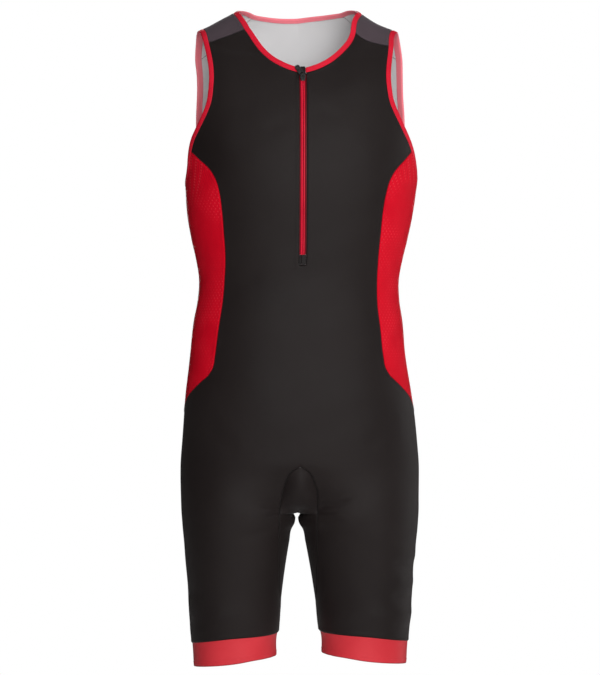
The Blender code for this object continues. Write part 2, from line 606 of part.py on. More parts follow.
def add_object(name, mesh_data, finish, smooth=True):
    """Links a closed bmesh as an object whose faces point outwards."""
    if mesh_data.calc_volume(signed=True) < 0:
        bmesh.ops.reverse_faces(mesh_data, faces=mesh_data.faces)
    mesh = bpy.data.meshes.new(name)
    mesh_data.to_mesh(mesh)
    mesh_data.free()
    if smooth:
        mesh.shade_smooth()
        mesh.set_sharp_from_angle(angle=math.radians(50))
    mesh.materials.append(finish_material(finish))
    item = bpy.data.objects.new(name, mesh)
    bpy.context.collection.objects.link(item)
    return item


def add_wall(name, outside, inside, faces, finish):
    """Cloth wall: an outer and an inner skin with the same faces, closed along every open edge."""
    mesh = bmesh.new()
    places = {}
    for index, point in enumerate(outside):
        places.setdefault(tuple(np.round(point * 1e6).astype(int)), []).append(index)
    skins = ({}, {})
    for shared in places.values():
        for skin, points in zip(skins, (outside, inside)):
            corner = mesh.verts.new(points[shared].mean(axis=0))
            skin.update((index, corner) for index in shared)
    borders = {}
    for face in faces:
        ring = [int(index) for index in face]
        outer_ring, inner_ring = [], []
        for index in ring:
            if skins[0][index] not in outer_ring:
                outer_ring.append(skins[0][index])
                inner_ring.append(skins[1][index])
        if len(outer_ring) < 3:
            continue
        mesh.faces.new(outer_ring)
        mesh.faces.new([inner_ring[0]] + inner_ring[:0:-1])
        pairs = list(zip(outer_ring, inner_ring))
        for one, two in zip(pairs, pairs[1:] + pairs[:1]):
            if (two[0], one[0]) in borders:
                del borders[(two[0], one[0])]
            else:
                borders[(one[0], two[0])] = (one[1], two[1])
    for (start, end), (inner_start, inner_end) in borders.items():
        mesh.faces.new((end, start, inner_start, inner_end))
    return add_object(name, mesh, finish)


def panel_halves(grid, hands, first):
    """Outer and inner points of a panel and its faces, from a grid of wrap and height."""
    outside, inside, faces, start = [], [], [], 0
    rows, columns = grid.shape[:2]
    for hand in hands:
        points = drawn_back(figure(grid[..., 0], grid[..., 1], hand), first=first)
        normals = outward(grid[..., 0], grid[..., 1], hand)
        cells = grid_faces(rows, columns, start)
        outside.append(points.reshape(-1, 3))
        inside.append((points - normals * CLOTH).reshape(-1, 3))
        faces.append(cells if hand > 0 else turned(cells))
        start += rows * columns
    return np.concatenate(outside), np.concatenate(inside), np.concatenate(faces)


def body_edges(seam, side):
    """Inner and outer edge of the front (-1) or of the back (+1), as wrap and height."""
    lower = [seam["gusset_front" if side < 0 else "gusset_back"],
             seam["inseam_front" if side < 0 else "inseam_back"]]
    centre_rows = ROWS - EDGE_ROWS - INSEAM_ROWS
    if side < 0:
        slot = [(wrap_at(SLOT_HALF, z, -1), z) for z in np.linspace(SLOT_TOP, SLOT_END, SLOT_ROWS + 1)]
        below = np.linspace(SLOT_END - 0.0004, GUSSET_TOP, centre_rows - SLOT_ROWS)[:-1]
        inner = [np.array(slot), np.stack([np.full(len(below), -1.0), below], axis=-1)]
        outer = [seam["arm_front"], seam["side_front"][1:], seam["hip"][1:], seam["leg_side"][1:]]
    else:
        centre = np.linspace(NECK_BACK[0][1], GUSSET_TOP, centre_rows + 1)[:-1]
        inner = [np.stack([np.full(len(centre), 1.0), centre], axis=-1)]
        outer = [seam["arm_back"], seam["side_back"][1:], seam["leg_side"][1:]]
    return np.concatenate(inner + lower), np.concatenate(outer)


def add_body_panel(name, seam, side):
    inner, outer = body_edges(seam, side)
    neck = seam["neck_front" if side < 0 else "neck_back"]
    top = np.concatenate([neck, yoke_seam(side)[1:]])
    grid = patch(inner, outer, top, band_seam(side))
    on_centre = (np.abs(inner[:, 0]) > 0.999) & (inner[:, 1] > GUSSET_TOP - 0.0001)
    first = np.where(on_centre, 0.0, 1.0)
    outside, inside, faces = panel_halves(grid, (1, -1), first)
    return add_wall(name, outside, inside, faces, "black_cloth")


def add_side_panel(name, seam, hand):
    grid = patch(seam["side_front"], seam["side_back"], seam["arm_under"], seam["hip"])
    outside, inside, faces = panel_halves(grid, (hand,), np.ones(len(grid)))
    return add_wall(name, outside, inside, faces, "side_cloth")


def add_yoke(name, hand):
    x, angle = yoke_places()
    points = drawn_back(arch(x, angle, hand), first=np.ones(len(x)))
    normals = arch_outward(x, angle, hand)
    faces = grid_faces(*x.shape)
    inside = (points - normals * CLOTH).reshape(-1, 3)
    return add_wall(name, points.reshape(-1, 3), inside, faces if hand > 0 else turned(faces), "yoke_cloth")


def gusset_centre(z, side):
    """Depth of the crotch curve at a height: a deep rounded U between the legs."""
    reach = figure(np.array([side * 1.0]), np.array([GUSSET_TOP]), 1)[0, 1]
    fall = np.clip((GUSSET_TOP - z) / (GUSSET_TOP - CROTCH), 0.0, 1.0)
    return reach * (1 - fall ** CROTCH_POWER) ** (1 / CROTCH_POWER)


def gusset_grid(edge, side, hand):
    """Points from the gusset's edge to its middle: the crotch curve, then the inseam of the arms."""
    share = np.linspace(0.0, 1.0, GUSSET_COLUMNS + 1)
    rows = []
    wraps = edge[GUSSET_ROWS, 0] + (side - edge[GUSSET_ROWS, 0]) * share
    level = even_figure(wraps, np.full_like(wraps, CROTCH), 1)
    level = level[:, :2] / level[0, :2]
    level[-1] = 0.0
    for index, (wrap, z) in enumerate(edge):
        if index <= GUSSET_ROWS:
            x, y, _ = even_figure(np.array([wrap]), np.array([z]), 1)[0]
            middle = gusset_centre(z, side)
            fall = (GUSSET_TOP - z) / (GUSSET_TOP - CROTCH)
            lateral = 1 - share + (level[:, 0] - 1 + share) * smoothstep(fall)
            depth_level = np.interp(lateral, level[::-1, 0], level[::-1, 1])
            depth_share = lateral ** 2 + (depth_level - lateral ** 2) * smoothstep((fall - LEVEL_START) / (1 - LEVEL_START))
            row = np.stack([x * lateral, middle + (y - middle) * depth_share, np.full_like(share, z)], axis=-1)
        else:
            row = even_figure(wrap + (side - wrap) * share, np.full_like(share, z), 1)
        rows.append(row)
    return stance(np.array(rows) * np.array([hand, 1.0, 1.0]))


def add_gusset(name, seam):
    """Gusset in four quarters, welded along the middle and along the inseams."""
    points, normals, faces, start = [], [], [], 0
    for hand in (1, -1):
        for side, key in ((-1, "gusset_front"), (1, "gusset_back")):
            edge = seam[key]
            grid = gusset_grid(edge, side, hand)
            edge_normals = outward(edge[:, 0], edge[:, 1], hand)
            moved = drawn_back(grid, top=False, bottom=False, first=np.ones(len(grid)), last=False)
            moved[0] = grid[0] - np.array([0.0, 0.0, 2 * HALF_GAP])
            moved[-1] = grid[-1] + np.array([0.0, 0.0, 3 * HALF_GAP])
            rows, columns = grid.shape[:2]
            cells = grid_faces(rows, columns, start)
            given = np.full(grid.shape, np.nan)
            given[:, 0] = edge_normals
            given[:2] = edge_normals[:2, None]
            given[-1] = edge_normals[-1]
            points.append(moved.reshape(-1, 3))
            normals.append(given.reshape(-1, 3))
            faces.append(cells if hand * side > 0 else turned(cells))
            start += rows * columns
    points, given, faces = np.concatenate(points), np.concatenate(normals), np.concatenate(faces)
    own = welded_normals(points, faces)
    normal = np.where(np.isnan(given), own, given)
    return add_wall(name, points, points - normal * CLOTH, faces, "black_cloth")


def welded_normals(points, faces):
    """Normals at the points of a surface, where points at one place share theirs."""
    keys = {}
    shared = np.array([keys.setdefault(tuple(key), len(keys)) for key in np.round(points * 1e6).astype(int)])
    corners = points[faces]
    face_normal = np.cross(corners[:, 2] - corners[:, 0], corners[:, 3] - corners[:, 1])
    total = np.zeros((len(keys), 3))
    for corner in range(4):
        np.add.at(total, shared[faces[:, corner]], face_normal)
    total = total[shared]
    return total / np.maximum(np.linalg.norm(total, axis=1, keepdims=True), 1e-12)


def add_leg_band(name, hand):
    """Closed ring of elastic band below the seam of the leg."""
    front, back = band_seam(-1), band_seam(1)[::-1]
    wrap = np.concatenate([front[:, 0], back[1:-1, 0]])
    top = smooth_at(BAND[:, 0], BAND[:, 1], np.abs(wrap)) - 2 * HALF_GAP
    hem = smooth_at(BAND[:, 0], BAND[:, 2], np.abs(wrap))
    share = np.linspace(0.0, 1.0, BAND_ROWS + 1)[:, None]
    z = top + (hem - top) * share
    wraps = np.broadcast_to(wrap, z.shape)
    normals = outward(wraps, z, hand)
    outside = figure(wraps, z, hand) - normals * BAND_INSET
    inside = outside - normals * BAND_CLOTH
    faces = grid_faces(*z.shape, closed=True)
    faces = faces if hand > 0 else turned(faces)
    return add_wall(name, outside.reshape(-1, 3), inside.reshape(-1, 3), faces, "gripper_band")


def add_sweep(name, path, normals, closed, finish, hole):
    """Binding: a flat rounded section carried along an edge, just beyond the cloth."""
    after, before = np.roll(path, -1, axis=0), np.roll(path, 1, axis=0)
    if not closed:
        after[-1], before[0] = path[-1], path[0]
    along = after - before
    along /= np.linalg.norm(along, axis=1, keepdims=True)
    beyond = np.cross(along, normals)
    beyond /= np.linalg.norm(beyond, axis=1, keepdims=True)
    if np.sum(beyond * (hole - path)) < 0:
        beyond = -beyond
    normals = np.cross(beyond, along) * np.sign(np.sum(np.cross(beyond, along) * normals))
    if not closed:
        for end in (0, -1):
            beyond[end] -= along[end] * beyond[end][0] / along[end][0]
    angles = np.radians([0, 55, 125, 180, 235, 305])
    across, rise = np.cos(angles), np.sin(angles)
    centre = path + beyond * (HALF_GAP + BINDING_WIDTH / 2) - normals * CLOTH / 2
    wide, thick = BINDING_WIDTH / 2, BINDING_THICK / 2
    points = (centre[:, None] + beyond[:, None] * (across * wide)[None, :, None]
              + normals[:, None] * (rise * thick)[None, :, None])
    mesh = bmesh.new()
    rings = [[mesh.verts.new(point) for point in ring] for ring in points]
    pairs = list(zip(rings, rings[1:] + rings[:1])) if closed else list(zip(rings, rings[1:]))
    for one, two in pairs:
        for k in range(len(one)):
            mesh.faces.new((one[k], one[(k + 1) % len(one)], two[(k + 1) % len(one)], two[k]))
    if not closed:
        mesh.faces.new(rings[0][::-1])
        mesh.faces.new(rings[-1])
    bmesh.ops.recalc_face_normals(mesh, faces=mesh.faces)
    return add_object(name, mesh, finish)


def add_armhole_binding(name, seam, hand):
    x, angle = yoke_places()
    parts = [seam["arm_front"][:-1], seam["arm_under"][:-1], seam["arm_back"][::-1][:-1]]
    places = np.concatenate(parts)
    path = [figure(places[:, 0], places[:, 1], hand), arch(x[:, -1], angle[:, -1], hand)[::-1][:-1]]
    normals = [outward(places[:, 0], places[:, 1], hand), arch_outward(x[:, -1], angle[:, -1], hand)[::-1][:-1]]
    hole = np.array([hand * 0.17, 0.0, -0.14])
    return add_sweep(name, np.concatenate(path), np.concatenate(normals), True, "binding_cloth", hole)


def add_neck_binding(name, seam):
    x, angle = yoke_places()
    front = seam["neck_front"].copy()
    front[0] = wrap_at(GUARD_WIDTH / 2 + 0.0006, SLOT_TOP + 0.0003, -1), SLOT_TOP + 0.0003
    back = seam["neck_back"][::-1][1:]
    path, normals = [], []
    for hand in (1, -1):
        run = np.concatenate([figure(front[:, 0], front[:, 1], hand), arch(x[1:, 0], angle[1:, 0], hand),
                              figure(back[:, 0], back[:, 1], hand)])
        out = np.concatenate([outward(front[:, 0], front[:, 1], hand), arch_outward(x[1:, 0], angle[1:, 0], hand),
                              outward(back[:, 0], back[:, 1], hand)])
        path.append(run if hand > 0 else run[:-1][::-1])
        normals.append(out if hand > 0 else out[:-1][::-1])
    hole = np.array([0.0, 0.0, 0.02])
    return add_sweep(name, np.concatenate(path), np.concatenate(normals), False, "binding_cloth", hole)


def front_place(x, z, rise):
    """Point beside the centre front, at a rise out from the cloth."""
    wrap = np.array([-1.0])
    point = figure(wrap, np.array([z]), 1)[0]
    normal = outward(wrap, np.array([z]), 1)[0]
    return Vector((point[0] + x, point[1], point[2])) + Vector(normal) * rise


def add_loft(name, rings, finish):
    """Closed solid through a list of rings of points, capped at both ends."""
    mesh = bmesh.new()
    rows = [[mesh.verts.new(point) for point in ring] for ring in rings]
    for one, two in zip(rows, rows[1:]):
        for k in range(len(one)):
            mesh.faces.new((one[k], one[(k + 1) % len(one)], two[(k + 1) % len(one)], two[k]))
    mesh.faces.new(rows[0][::-1])
    mesh.faces.new(rows[-1])
    bmesh.ops.recalc_face_normals(mesh, faces=mesh.faces)
    return add_object(name, mesh, finish, smooth=False)


def add_zip_tape(name, hand):
    """One side of the closed zip: a strip with a raised row of teeth, along the slot."""
    middle = (TAPE_INNER + TAPE_OUTER) / 2
    section = [(TAPE_INNER, -TAPE_THICK), (TAPE_OUTER, -TAPE_THICK), (TAPE_OUTER, 0.0),
               (middle + 0.0008, TEETH_RISE), (middle - 0.0008, TEETH_RISE), (TAPE_INNER, 0.0)]
    rings = [[front_place(hand * x, z, rise) for x, rise in section]
             for z in np.linspace(ZIP_TOP, ZIP_BOTTOM, 19)]
    return add_loft(name, rings, "zip_tape")


def add_zip_end(name):
    """Black stop that closes the slot below the zip."""
    rings = []
    for z in np.linspace(ZIP_BOTTOM - 0.0004, SLOT_END + 0.0004, 3):
        section = [(-TAPE_OUTER + 0.0002, -TAPE_THICK), (TAPE_OUTER - 0.0002, -TAPE_THICK),
                   (TAPE_OUTER - 0.0002, TEETH_RISE), (-TAPE_OUTER + 0.0002, TEETH_RISE)]
        rings.append([front_place(x, z, rise) for x, rise in section])
    return add_loft(name, rings, "zip_metal")


def add_zip_guard(name):
    """Black tab between the ends of the neck binding, behind the pull."""
    half, slot = GUARD_WIDTH / 2, SLOT_HALF - 0.0001
    places = [(GUARD_TOP, half - 0.0010), (GUARD_TOP - 0.0030, half), (SLOT_TOP + 0.0002, half),
              (SLOT_TOP - 0.0002, slot), (GUARD_BOTTOM, slot)]
    rings = [[front_place(x, z, rise) for x, rise in
              ((-wide, -CLOTH), (wide, -CLOTH), (wide, GUARD_RISE), (-wide, GUARD_RISE))] for z, wide in places]
    return add_loft(name, rings, "zip_metal")


def slider_frame():
    """Matrix from the slider's own frame (across, up, out) to the suit's."""
    up = (front_place(0.0, SLIDER_Z + 0.003, 0.0) - front_place(0.0, SLIDER_Z - 0.003, 0.0)).normalized()
    out = Vector((1.0, 0.0, 0.0)).cross(up).normalized()
    across = up.cross(out)
    place = front_place(0.0, SLIDER_Z, SLIDER_LIFT)
    frame = Matrix((across, up, out)).transposed().to_4x4()
    frame.translation = place
    return frame


def add_slider(name, frame):
    """Slider body, narrower at its foot, with a bridge over the pull's bar."""
    half, length = SLIDER_WIDTH / 2, SLIDER_LENGTH / 2
    top = SLIDER_THICK
    arch_top = top + 2 * PIVOT_RISE
    outline = [(-half * 0.62, -length), (half * 0.62, -length), (half, -length * 0.1), (half, length * 0.7),
               (half * 0.6, length), (-half * 0.6, length), (-half, length * 0.7), (-half, -length * 0.1)]
    mesh = bmesh.new()
    low = [mesh.verts.new(frame @ Vector((x, u, 0.0))) for x, u in outline]
    high = [mesh.verts.new(frame @ Vector((x * 0.9, u * 0.94, top))) for x, u in outline]
    count = len(outline)
    for k in range(count):
        mesh.faces.new((low[k], low[(k + 1) % count], high[(k + 1) % count], high[k]))
    mesh.faces.new(low[::-1])
    mesh.faces.new(high)
    bmesh.ops.recalc_face_normals(mesh, faces=mesh.faces)
    body = add_object(name, mesh, "zip_metal", smooth=False)
    inside, root = BRIDGE_HALF - BRIDGE_WALL, top - 0.0004
    bridge_profile = [(-BRIDGE_HALF, root), (-BRIDGE_HALF, arch_top), (BRIDGE_END - BRIDGE_HALF, arch_top + BRIDGE_WALL),
                      (BRIDGE_HALF - BRIDGE_END, arch_top + BRIDGE_WALL), (BRIDGE_HALF, arch_top), (BRIDGE_HALF, root),
                      (inside, root), (inside, arch_top), (-inside, arch_top), (-inside, root)]
    rings = [[frame @ Vector((x, PIVOT_UP + u, out)) for u, out in bridge_profile]
             for x in (-BRIDGE_WIDTH / 2, BRIDGE_WIDTH / 2)]
    bridge = add_loft("bridge_tool", rings, "zip_metal")
    bridge.hide_render = True
    bridge.display_type = "WIRE"
    union = body.modifiers.new("bridge", "BOOLEAN")
    union.operation = "UNION"
    union.solver = "EXACT"
    union.object = bridge
    return body


def add_pull_tab(name, frame):
    """Pull flipped up and leaning to the wearer's right, its bar under the slider's bridge."""
    pivot = Vector((0.0, PIVOT_UP, SLIDER_THICK + PIVOT_RISE))
    lean = Matrix.Translation(pivot) @ Matrix.Rotation(math.radians(PULL_LEAN), 4, "Z")
    place = frame @ lean @ Matrix.Rotation(math.radians(-PULL_TILT), 4, "X")
    half, thick = PULL_WIDTH / 2, PULL_THICK / 2
    eye = EYE_WIDTH / 2
    bar = BAR_RADIUS
    mesh = bmesh.new()
    corner = PULL_LENGTH - PULL_CORNER
    outline = [(-half * 0.78, -bar), (half * 0.78, -bar), (half, EYE_LENGTH), (half, corner),
               (half * 0.5, PULL_LENGTH), (-half * 0.5, PULL_LENGTH), (-half, corner), (-half, EYE_LENGTH)]
    hole = [(-eye, bar), (eye, bar), (eye, EYE_LENGTH), (-eye, EYE_LENGTH)]
    low = [mesh.verts.new((x, u, -bar)) for x, u in outline]
    high = [mesh.verts.new((x, u, bar if u < EYE_LENGTH else thick)) for x, u in outline]
    low_hole = [mesh.verts.new((x, u, -bar)) for x, u in hole]
    high_hole = [mesh.verts.new((x, u, bar if u < EYE_LENGTH else thick)) for x, u in hole]
    count = len(outline)
    for k in range(count):
        mesh.faces.new((low[k], low[(k + 1) % count], high[(k + 1) % count], high[k]))
    for k in range(4):
        mesh.faces.new((high_hole[k], high_hole[(k + 1) % 4], low_hole[(k + 1) % 4], low_hole[k]))
    for outer_ring, inner_ring in ((high, high_hole), (low, low_hole)):
        mesh.faces.new((outer_ring[0], outer_ring[1], inner_ring[1], inner_ring[0]))
        mesh.faces.new((outer_ring[1], outer_ring[2], inner_ring[2], inner_ring[1]))
        mesh.faces.new((outer_ring[7], outer_ring[0], inner_ring[0], inner_ring[3]))
        mesh.faces.new((outer_ring[2], outer_ring[3], outer_ring[4], outer_ring[5], outer_ring[6],
                        outer_ring[7], inner_ring[3], inner_ring[2]))
    bmesh.ops.recalc_face_normals(mesh, faces=mesh.faces)
    tab = add_object(name, mesh, "zip_metal", smooth=False)
    tab.matrix_world = place
    return tab


def build():
    for item in list(bpy.data.objects):
        bpy.data.objects.remove(item, do_unlink=True)
    seam = seams()
    add_body_panel("front_panel", seam, -1)
    add_body_panel("back_panel", seam, 1)
    add_gusset("gusset", seam)
    for label, hand in (("left", 1), ("right", -1)):
        add_yoke("yoke_" + label, hand)
        add_side_panel("side_panel_" + label, seam, hand)
        add_leg_band("leg_band_" + label, hand)
        add_armhole_binding("armhole_binding_" + label, seam, hand)
        add_zip_tape("zip_" + label, hand)
    add_neck_binding("neck_binding", seam)
    add_zip_end("zip_end")
    add_zip_guard("zip_guard")
    frame = slider_frame()
    add_slider("slider", frame)
    add_pull_tab("pull_tab", frame)


build()
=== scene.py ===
# Triathlon suit, filled out as worn: the looks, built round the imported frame.
# Metres, +Z up. The front faces -Y and the wearer's left is +X.
import math

import bmesh
import bpy
import numpy as np
from mathutils import Matrix, Vector


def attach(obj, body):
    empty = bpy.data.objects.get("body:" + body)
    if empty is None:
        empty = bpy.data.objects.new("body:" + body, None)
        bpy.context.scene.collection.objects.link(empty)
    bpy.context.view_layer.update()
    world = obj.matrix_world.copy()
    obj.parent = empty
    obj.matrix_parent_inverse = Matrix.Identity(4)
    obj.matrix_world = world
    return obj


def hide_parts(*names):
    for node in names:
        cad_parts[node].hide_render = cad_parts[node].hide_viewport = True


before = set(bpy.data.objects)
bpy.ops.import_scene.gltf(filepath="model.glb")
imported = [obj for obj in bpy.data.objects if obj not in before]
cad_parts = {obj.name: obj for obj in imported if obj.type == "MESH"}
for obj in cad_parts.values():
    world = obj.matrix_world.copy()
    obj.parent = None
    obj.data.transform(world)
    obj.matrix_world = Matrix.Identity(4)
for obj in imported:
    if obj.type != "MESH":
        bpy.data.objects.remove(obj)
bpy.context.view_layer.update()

# The figure that every cloth piece is cut from, with the same sizes as the solids.
# A place on it is a wrap and a height: wrap -1 is the centre front or the inseam, 0 the outer side, +1 the centre back.
figure = {
    "torso": np.array([  # height, half width, depth of the front, depth of the back
        (0.060, 0.156, 0.066, 0.088), (0.000, 0.160, 0.074, 0.094), (-0.070, 0.167, 0.087, 0.105),
        (-0.130, 0.1705, 0.105, 0.115), (-0.200, 0.1700, 0.117, 0.116), (-0.250, 0.1675, 0.119, 0.110),
        (-0.306, 0.1614, 0.114, 0.101), (-0.331, 0.1562, 0.111, 0.097), (-0.357, 0.1500, 0.108, 0.093),
        (-0.389, 0.1447, 0.105, 0.090), (-0.418, 0.1462, 0.104, 0.091), (-0.448, 0.1512, 0.104, 0.094),
        (-0.493, 0.1555, 0.105, 0.102), (-0.555, 0.1638, 0.106, 0.114), (-0.620, 0.1702, 0.104, 0.123),
        (-0.651, 0.1724, 0.102, 0.123), (-0.679, 0.1727, 0.099, 0.118), (-0.721, 0.1720, 0.095, 0.108)]),
    "leg": np.array([  # height, inner x, outer x, depth of the front, depth of the back
        (-0.640, 0.0000, 0.1719, 0.098, 0.118), (-0.700, 0.0000, 0.1724, 0.095, 0.108),
        (-0.7245, 0.0000, 0.1720, 0.093, 0.101), (-0.7263, 0.0004, 0.1719, 0.093, 0.101),
        (-0.7290, 0.0011, 0.1717, 0.093, 0.100), (-0.7325, 0.0018, 0.1714, 0.092, 0.100),
        (-0.7365, 0.0022, 0.1711, 0.092, 0.099), (-0.7410, 0.0034, 0.1707, 0.091, 0.098),
        (-0.748, 0.0076, 0.1701, 0.090, 0.096), (-0.767, 0.0115, 0.1680, 0.087, 0.092),
        (-0.793, 0.0162, 0.1660, 0.083, 0.087), (-0.825, 0.0212, 0.1633, 0.078, 0.081),
        (-0.854, 0.0250, 0.1618, 0.074, 0.077), (-0.882, 0.0273, 0.1600, 0.071, 0.073),
        (-0.899, 0.0290, 0.1585, 0.069, 0.071), (-0.915, 0.0302, 0.1572, 0.068, 0.070),
        (-0.950, 0.0318, 0.1552, 0.067, 0.068)]),
    # the thighs part a little more just below the crotch: height, distance
    "lip": np.array([(-0.7245, 0.0012), (-0.7263, 0.0038), (-0.7290, 0.0026), (-0.7325, 0.0)]), "lipStart": 0.93,
    "torsoPower": 2.3, "legPower": 2.2,
    "shoulderX": 0.0919, "shoulderZ": -0.0033, "shoulderSlope": 0.488, "shoulderFoot": -0.12, "shoulderPower": 2.5,
    "partingTop": -0.650, "gussetTop": -0.655, "crotch": -0.7245, "crotchPower": 3.0, "gussetTip": -0.862,
    "levelStart": 0.8,         # share of the gusset's height from which its section turns to the crotch's
    "sideWrap": 0.05,          # the seams down the side lie just behind the outline
    "wrapScale": 0.25,         # metres that a wrap of 1 counts for, where a seam is spaced out
}

# How the suit hangs, as in the solids: its lean to the wearer's left at a height
hang = {
    "front": np.array([(0.000, 0.0000), (-0.035, 0.0014), (-0.060, 0.0032), (-0.080, 0.0041), (-0.100, 0.0043),
                       (-0.310, 0.0043), (-0.340, 0.0041), (-0.370, 0.0035), (-0.400, 0.0019), (-0.440, 0.0004),
                       (-0.480, 0.0000)]),
    "outline": np.array([(-0.120, 0.0000), (-0.170, 0.0010), (-0.260, 0.0010), (-0.310, -0.0008), (-0.390, -0.0016),
                         (-0.430, -0.0026), (-0.550, -0.0024), (-0.590, -0.0008), (-0.650, -0.0006), (-0.720, 0.0)]),
    "thigh": np.array([(-0.690, 0.0000), (-0.715, -0.0034), (-0.731, -0.0047), (-0.752, -0.0042), (-0.800, -0.0035),
                       (-0.850, -0.0028), (-0.900, -0.0018), (-0.950, -0.0013)]),
    # height, then on the wearer's left the neck, the front and the back of the armhole, and the same on the right
    "arms": np.array([(0.0600, -0.0036, -0.0042, -0.0040, -0.0028, -0.0030, -0.0030),
                      (-0.0080, -0.0034, -0.0042, -0.0040, -0.0028, -0.0030, -0.0030),
                      (-0.0180, -0.0024, -0.0042, -0.0042, -0.0024, -0.0030, -0.0030),
                      (-0.0300, -0.0012, -0.0040, -0.0042, -0.0006, -0.0035, -0.0030),
                      (-0.0400, -0.0004, -0.0028, -0.0028, 0.0000, -0.0048, -0.0032),
                      (-0.0500, 0.0000, -0.0010, -0.0014, 0.0000, -0.0055, -0.0038),
                      (-0.0650, 0.0000, 0.0000, 0.0000, 0.0000, -0.0055, -0.0036),
                      (-0.0850, 0.0000, 0.0000, 0.0000, 0.0000, -0.0055, -0.0010),
                      (-0.1100, 0.0000, -0.0010, 0.0000, 0.0000, -0.0050, 0.0000),
                      (-0.1300, 0.0000, -0.0018, 0.0000, 0.0000, -0.0040, 0.0000),
                      (-0.1600, 0.0000, -0.0014, 0.0000, 0.0000, -0.0036, 0.0000),
                      (-0.1850, 0.0000, -0.0012, 0.0000, 0.0000, -0.0042, 0.0000),
                      (-0.2065, 0.0000, 0.0000, 0.0000, 0.0000, -0.0028, 0.0000),
                      (-0.2280, 0.0000, 0.0000, 0.0000, 0.0000, 0.0000, 0.0000),
                      (-0.2500, 0.0000, 0.0000, 0.0000, 0.0000, 0.0000, 0.0000)]),
    "armNear": 0.075, "armFar": 0.115, "neckMix": 0.030, "armMix": 0.060,
    # x, lift of the shoulder line, lift of the yoke seam on the front
    "shoulder": np.array([(-0.130, 0.0000, 0.0034), (-0.087, 0.0015, 0.0048), (-0.060, 0.0003, 0.0022),
                          (-0.020, 0.0000, 0.0000), (0.000, 0.0012, 0.0000), (0.020, 0.0028, 0.0000),
                          (0.045, 0.0036, 0.0000), (0.065, 0.0036, -0.0022), (0.080, 0.0026, -0.0046),
                          (0.092, 0.0010, -0.0036), (0.110, 0.0000, -0.0010), (0.130, 0.0000, 0.0000)]),
    "tiltTop": -0.020, "tiltSeam": -0.045, "tiltFoot": -0.080,
    # the wearer's left leg ends a little higher: height, lift
    "hem": np.array([(-0.790, 0.0000), (-0.850, 0.0008), (-0.890, 0.0022), (-0.905, 0.0028), (-0.920, 0.0034),
                     (-0.945, 0.0045), (-0.960, 0.0048)]), "hemMix": 0.030,
    "frontReach": 0.105, "thighNear": 0.030, "thighFar": 0.150, "thighDeep": 0.100,
    "lowShoulder": 0.0026, "lowX": 0.117, "lowWide": 0.021, "lowFoot": -0.080, "lowRise": 0.045,
}

# Large folds, as in the solids: signed x, height, half length, half width, rise, tilt in degrees, front -1 or back +1
mainFolds = np.array([
    (0.052, -0.712, 0.030, 0.010, -0.0028, 14.0, -1), (0.060, -0.738, 0.034, 0.011, 0.0022, 16.0, -1),
    (-0.048, -0.716, 0.026, 0.010, -0.0020, -16.0, -1), (-0.056, -0.742, 0.030, 0.011, 0.0016, -14.0, -1),
    (-0.085, -0.058, 0.030, 0.010, -0.0022, -14.0, -1), (0.150, -0.795, 0.020, 0.012, -0.0022, -20.0, -1),
    (0.148, -0.850, 0.020, 0.012, -0.0018, -12.0, -1), (0.070, -0.745, 0.055, 0.013, -0.0040, -8.0, 1),
    (-0.070, -0.747, 0.055, 0.013, -0.0040, 8.0, 1), (0.060, -0.405, 0.060, 0.014, -0.0030, 5.0, 1),
    (-0.064, -0.412, 0.060, 0.014, -0.0030, -6.0, 1), (0.050, -0.440, 0.050, 0.014, 0.0022, 4.0, 1),
    (-0.050, -0.378, 0.050, 0.014, 0.0022, -4.0, 1)])

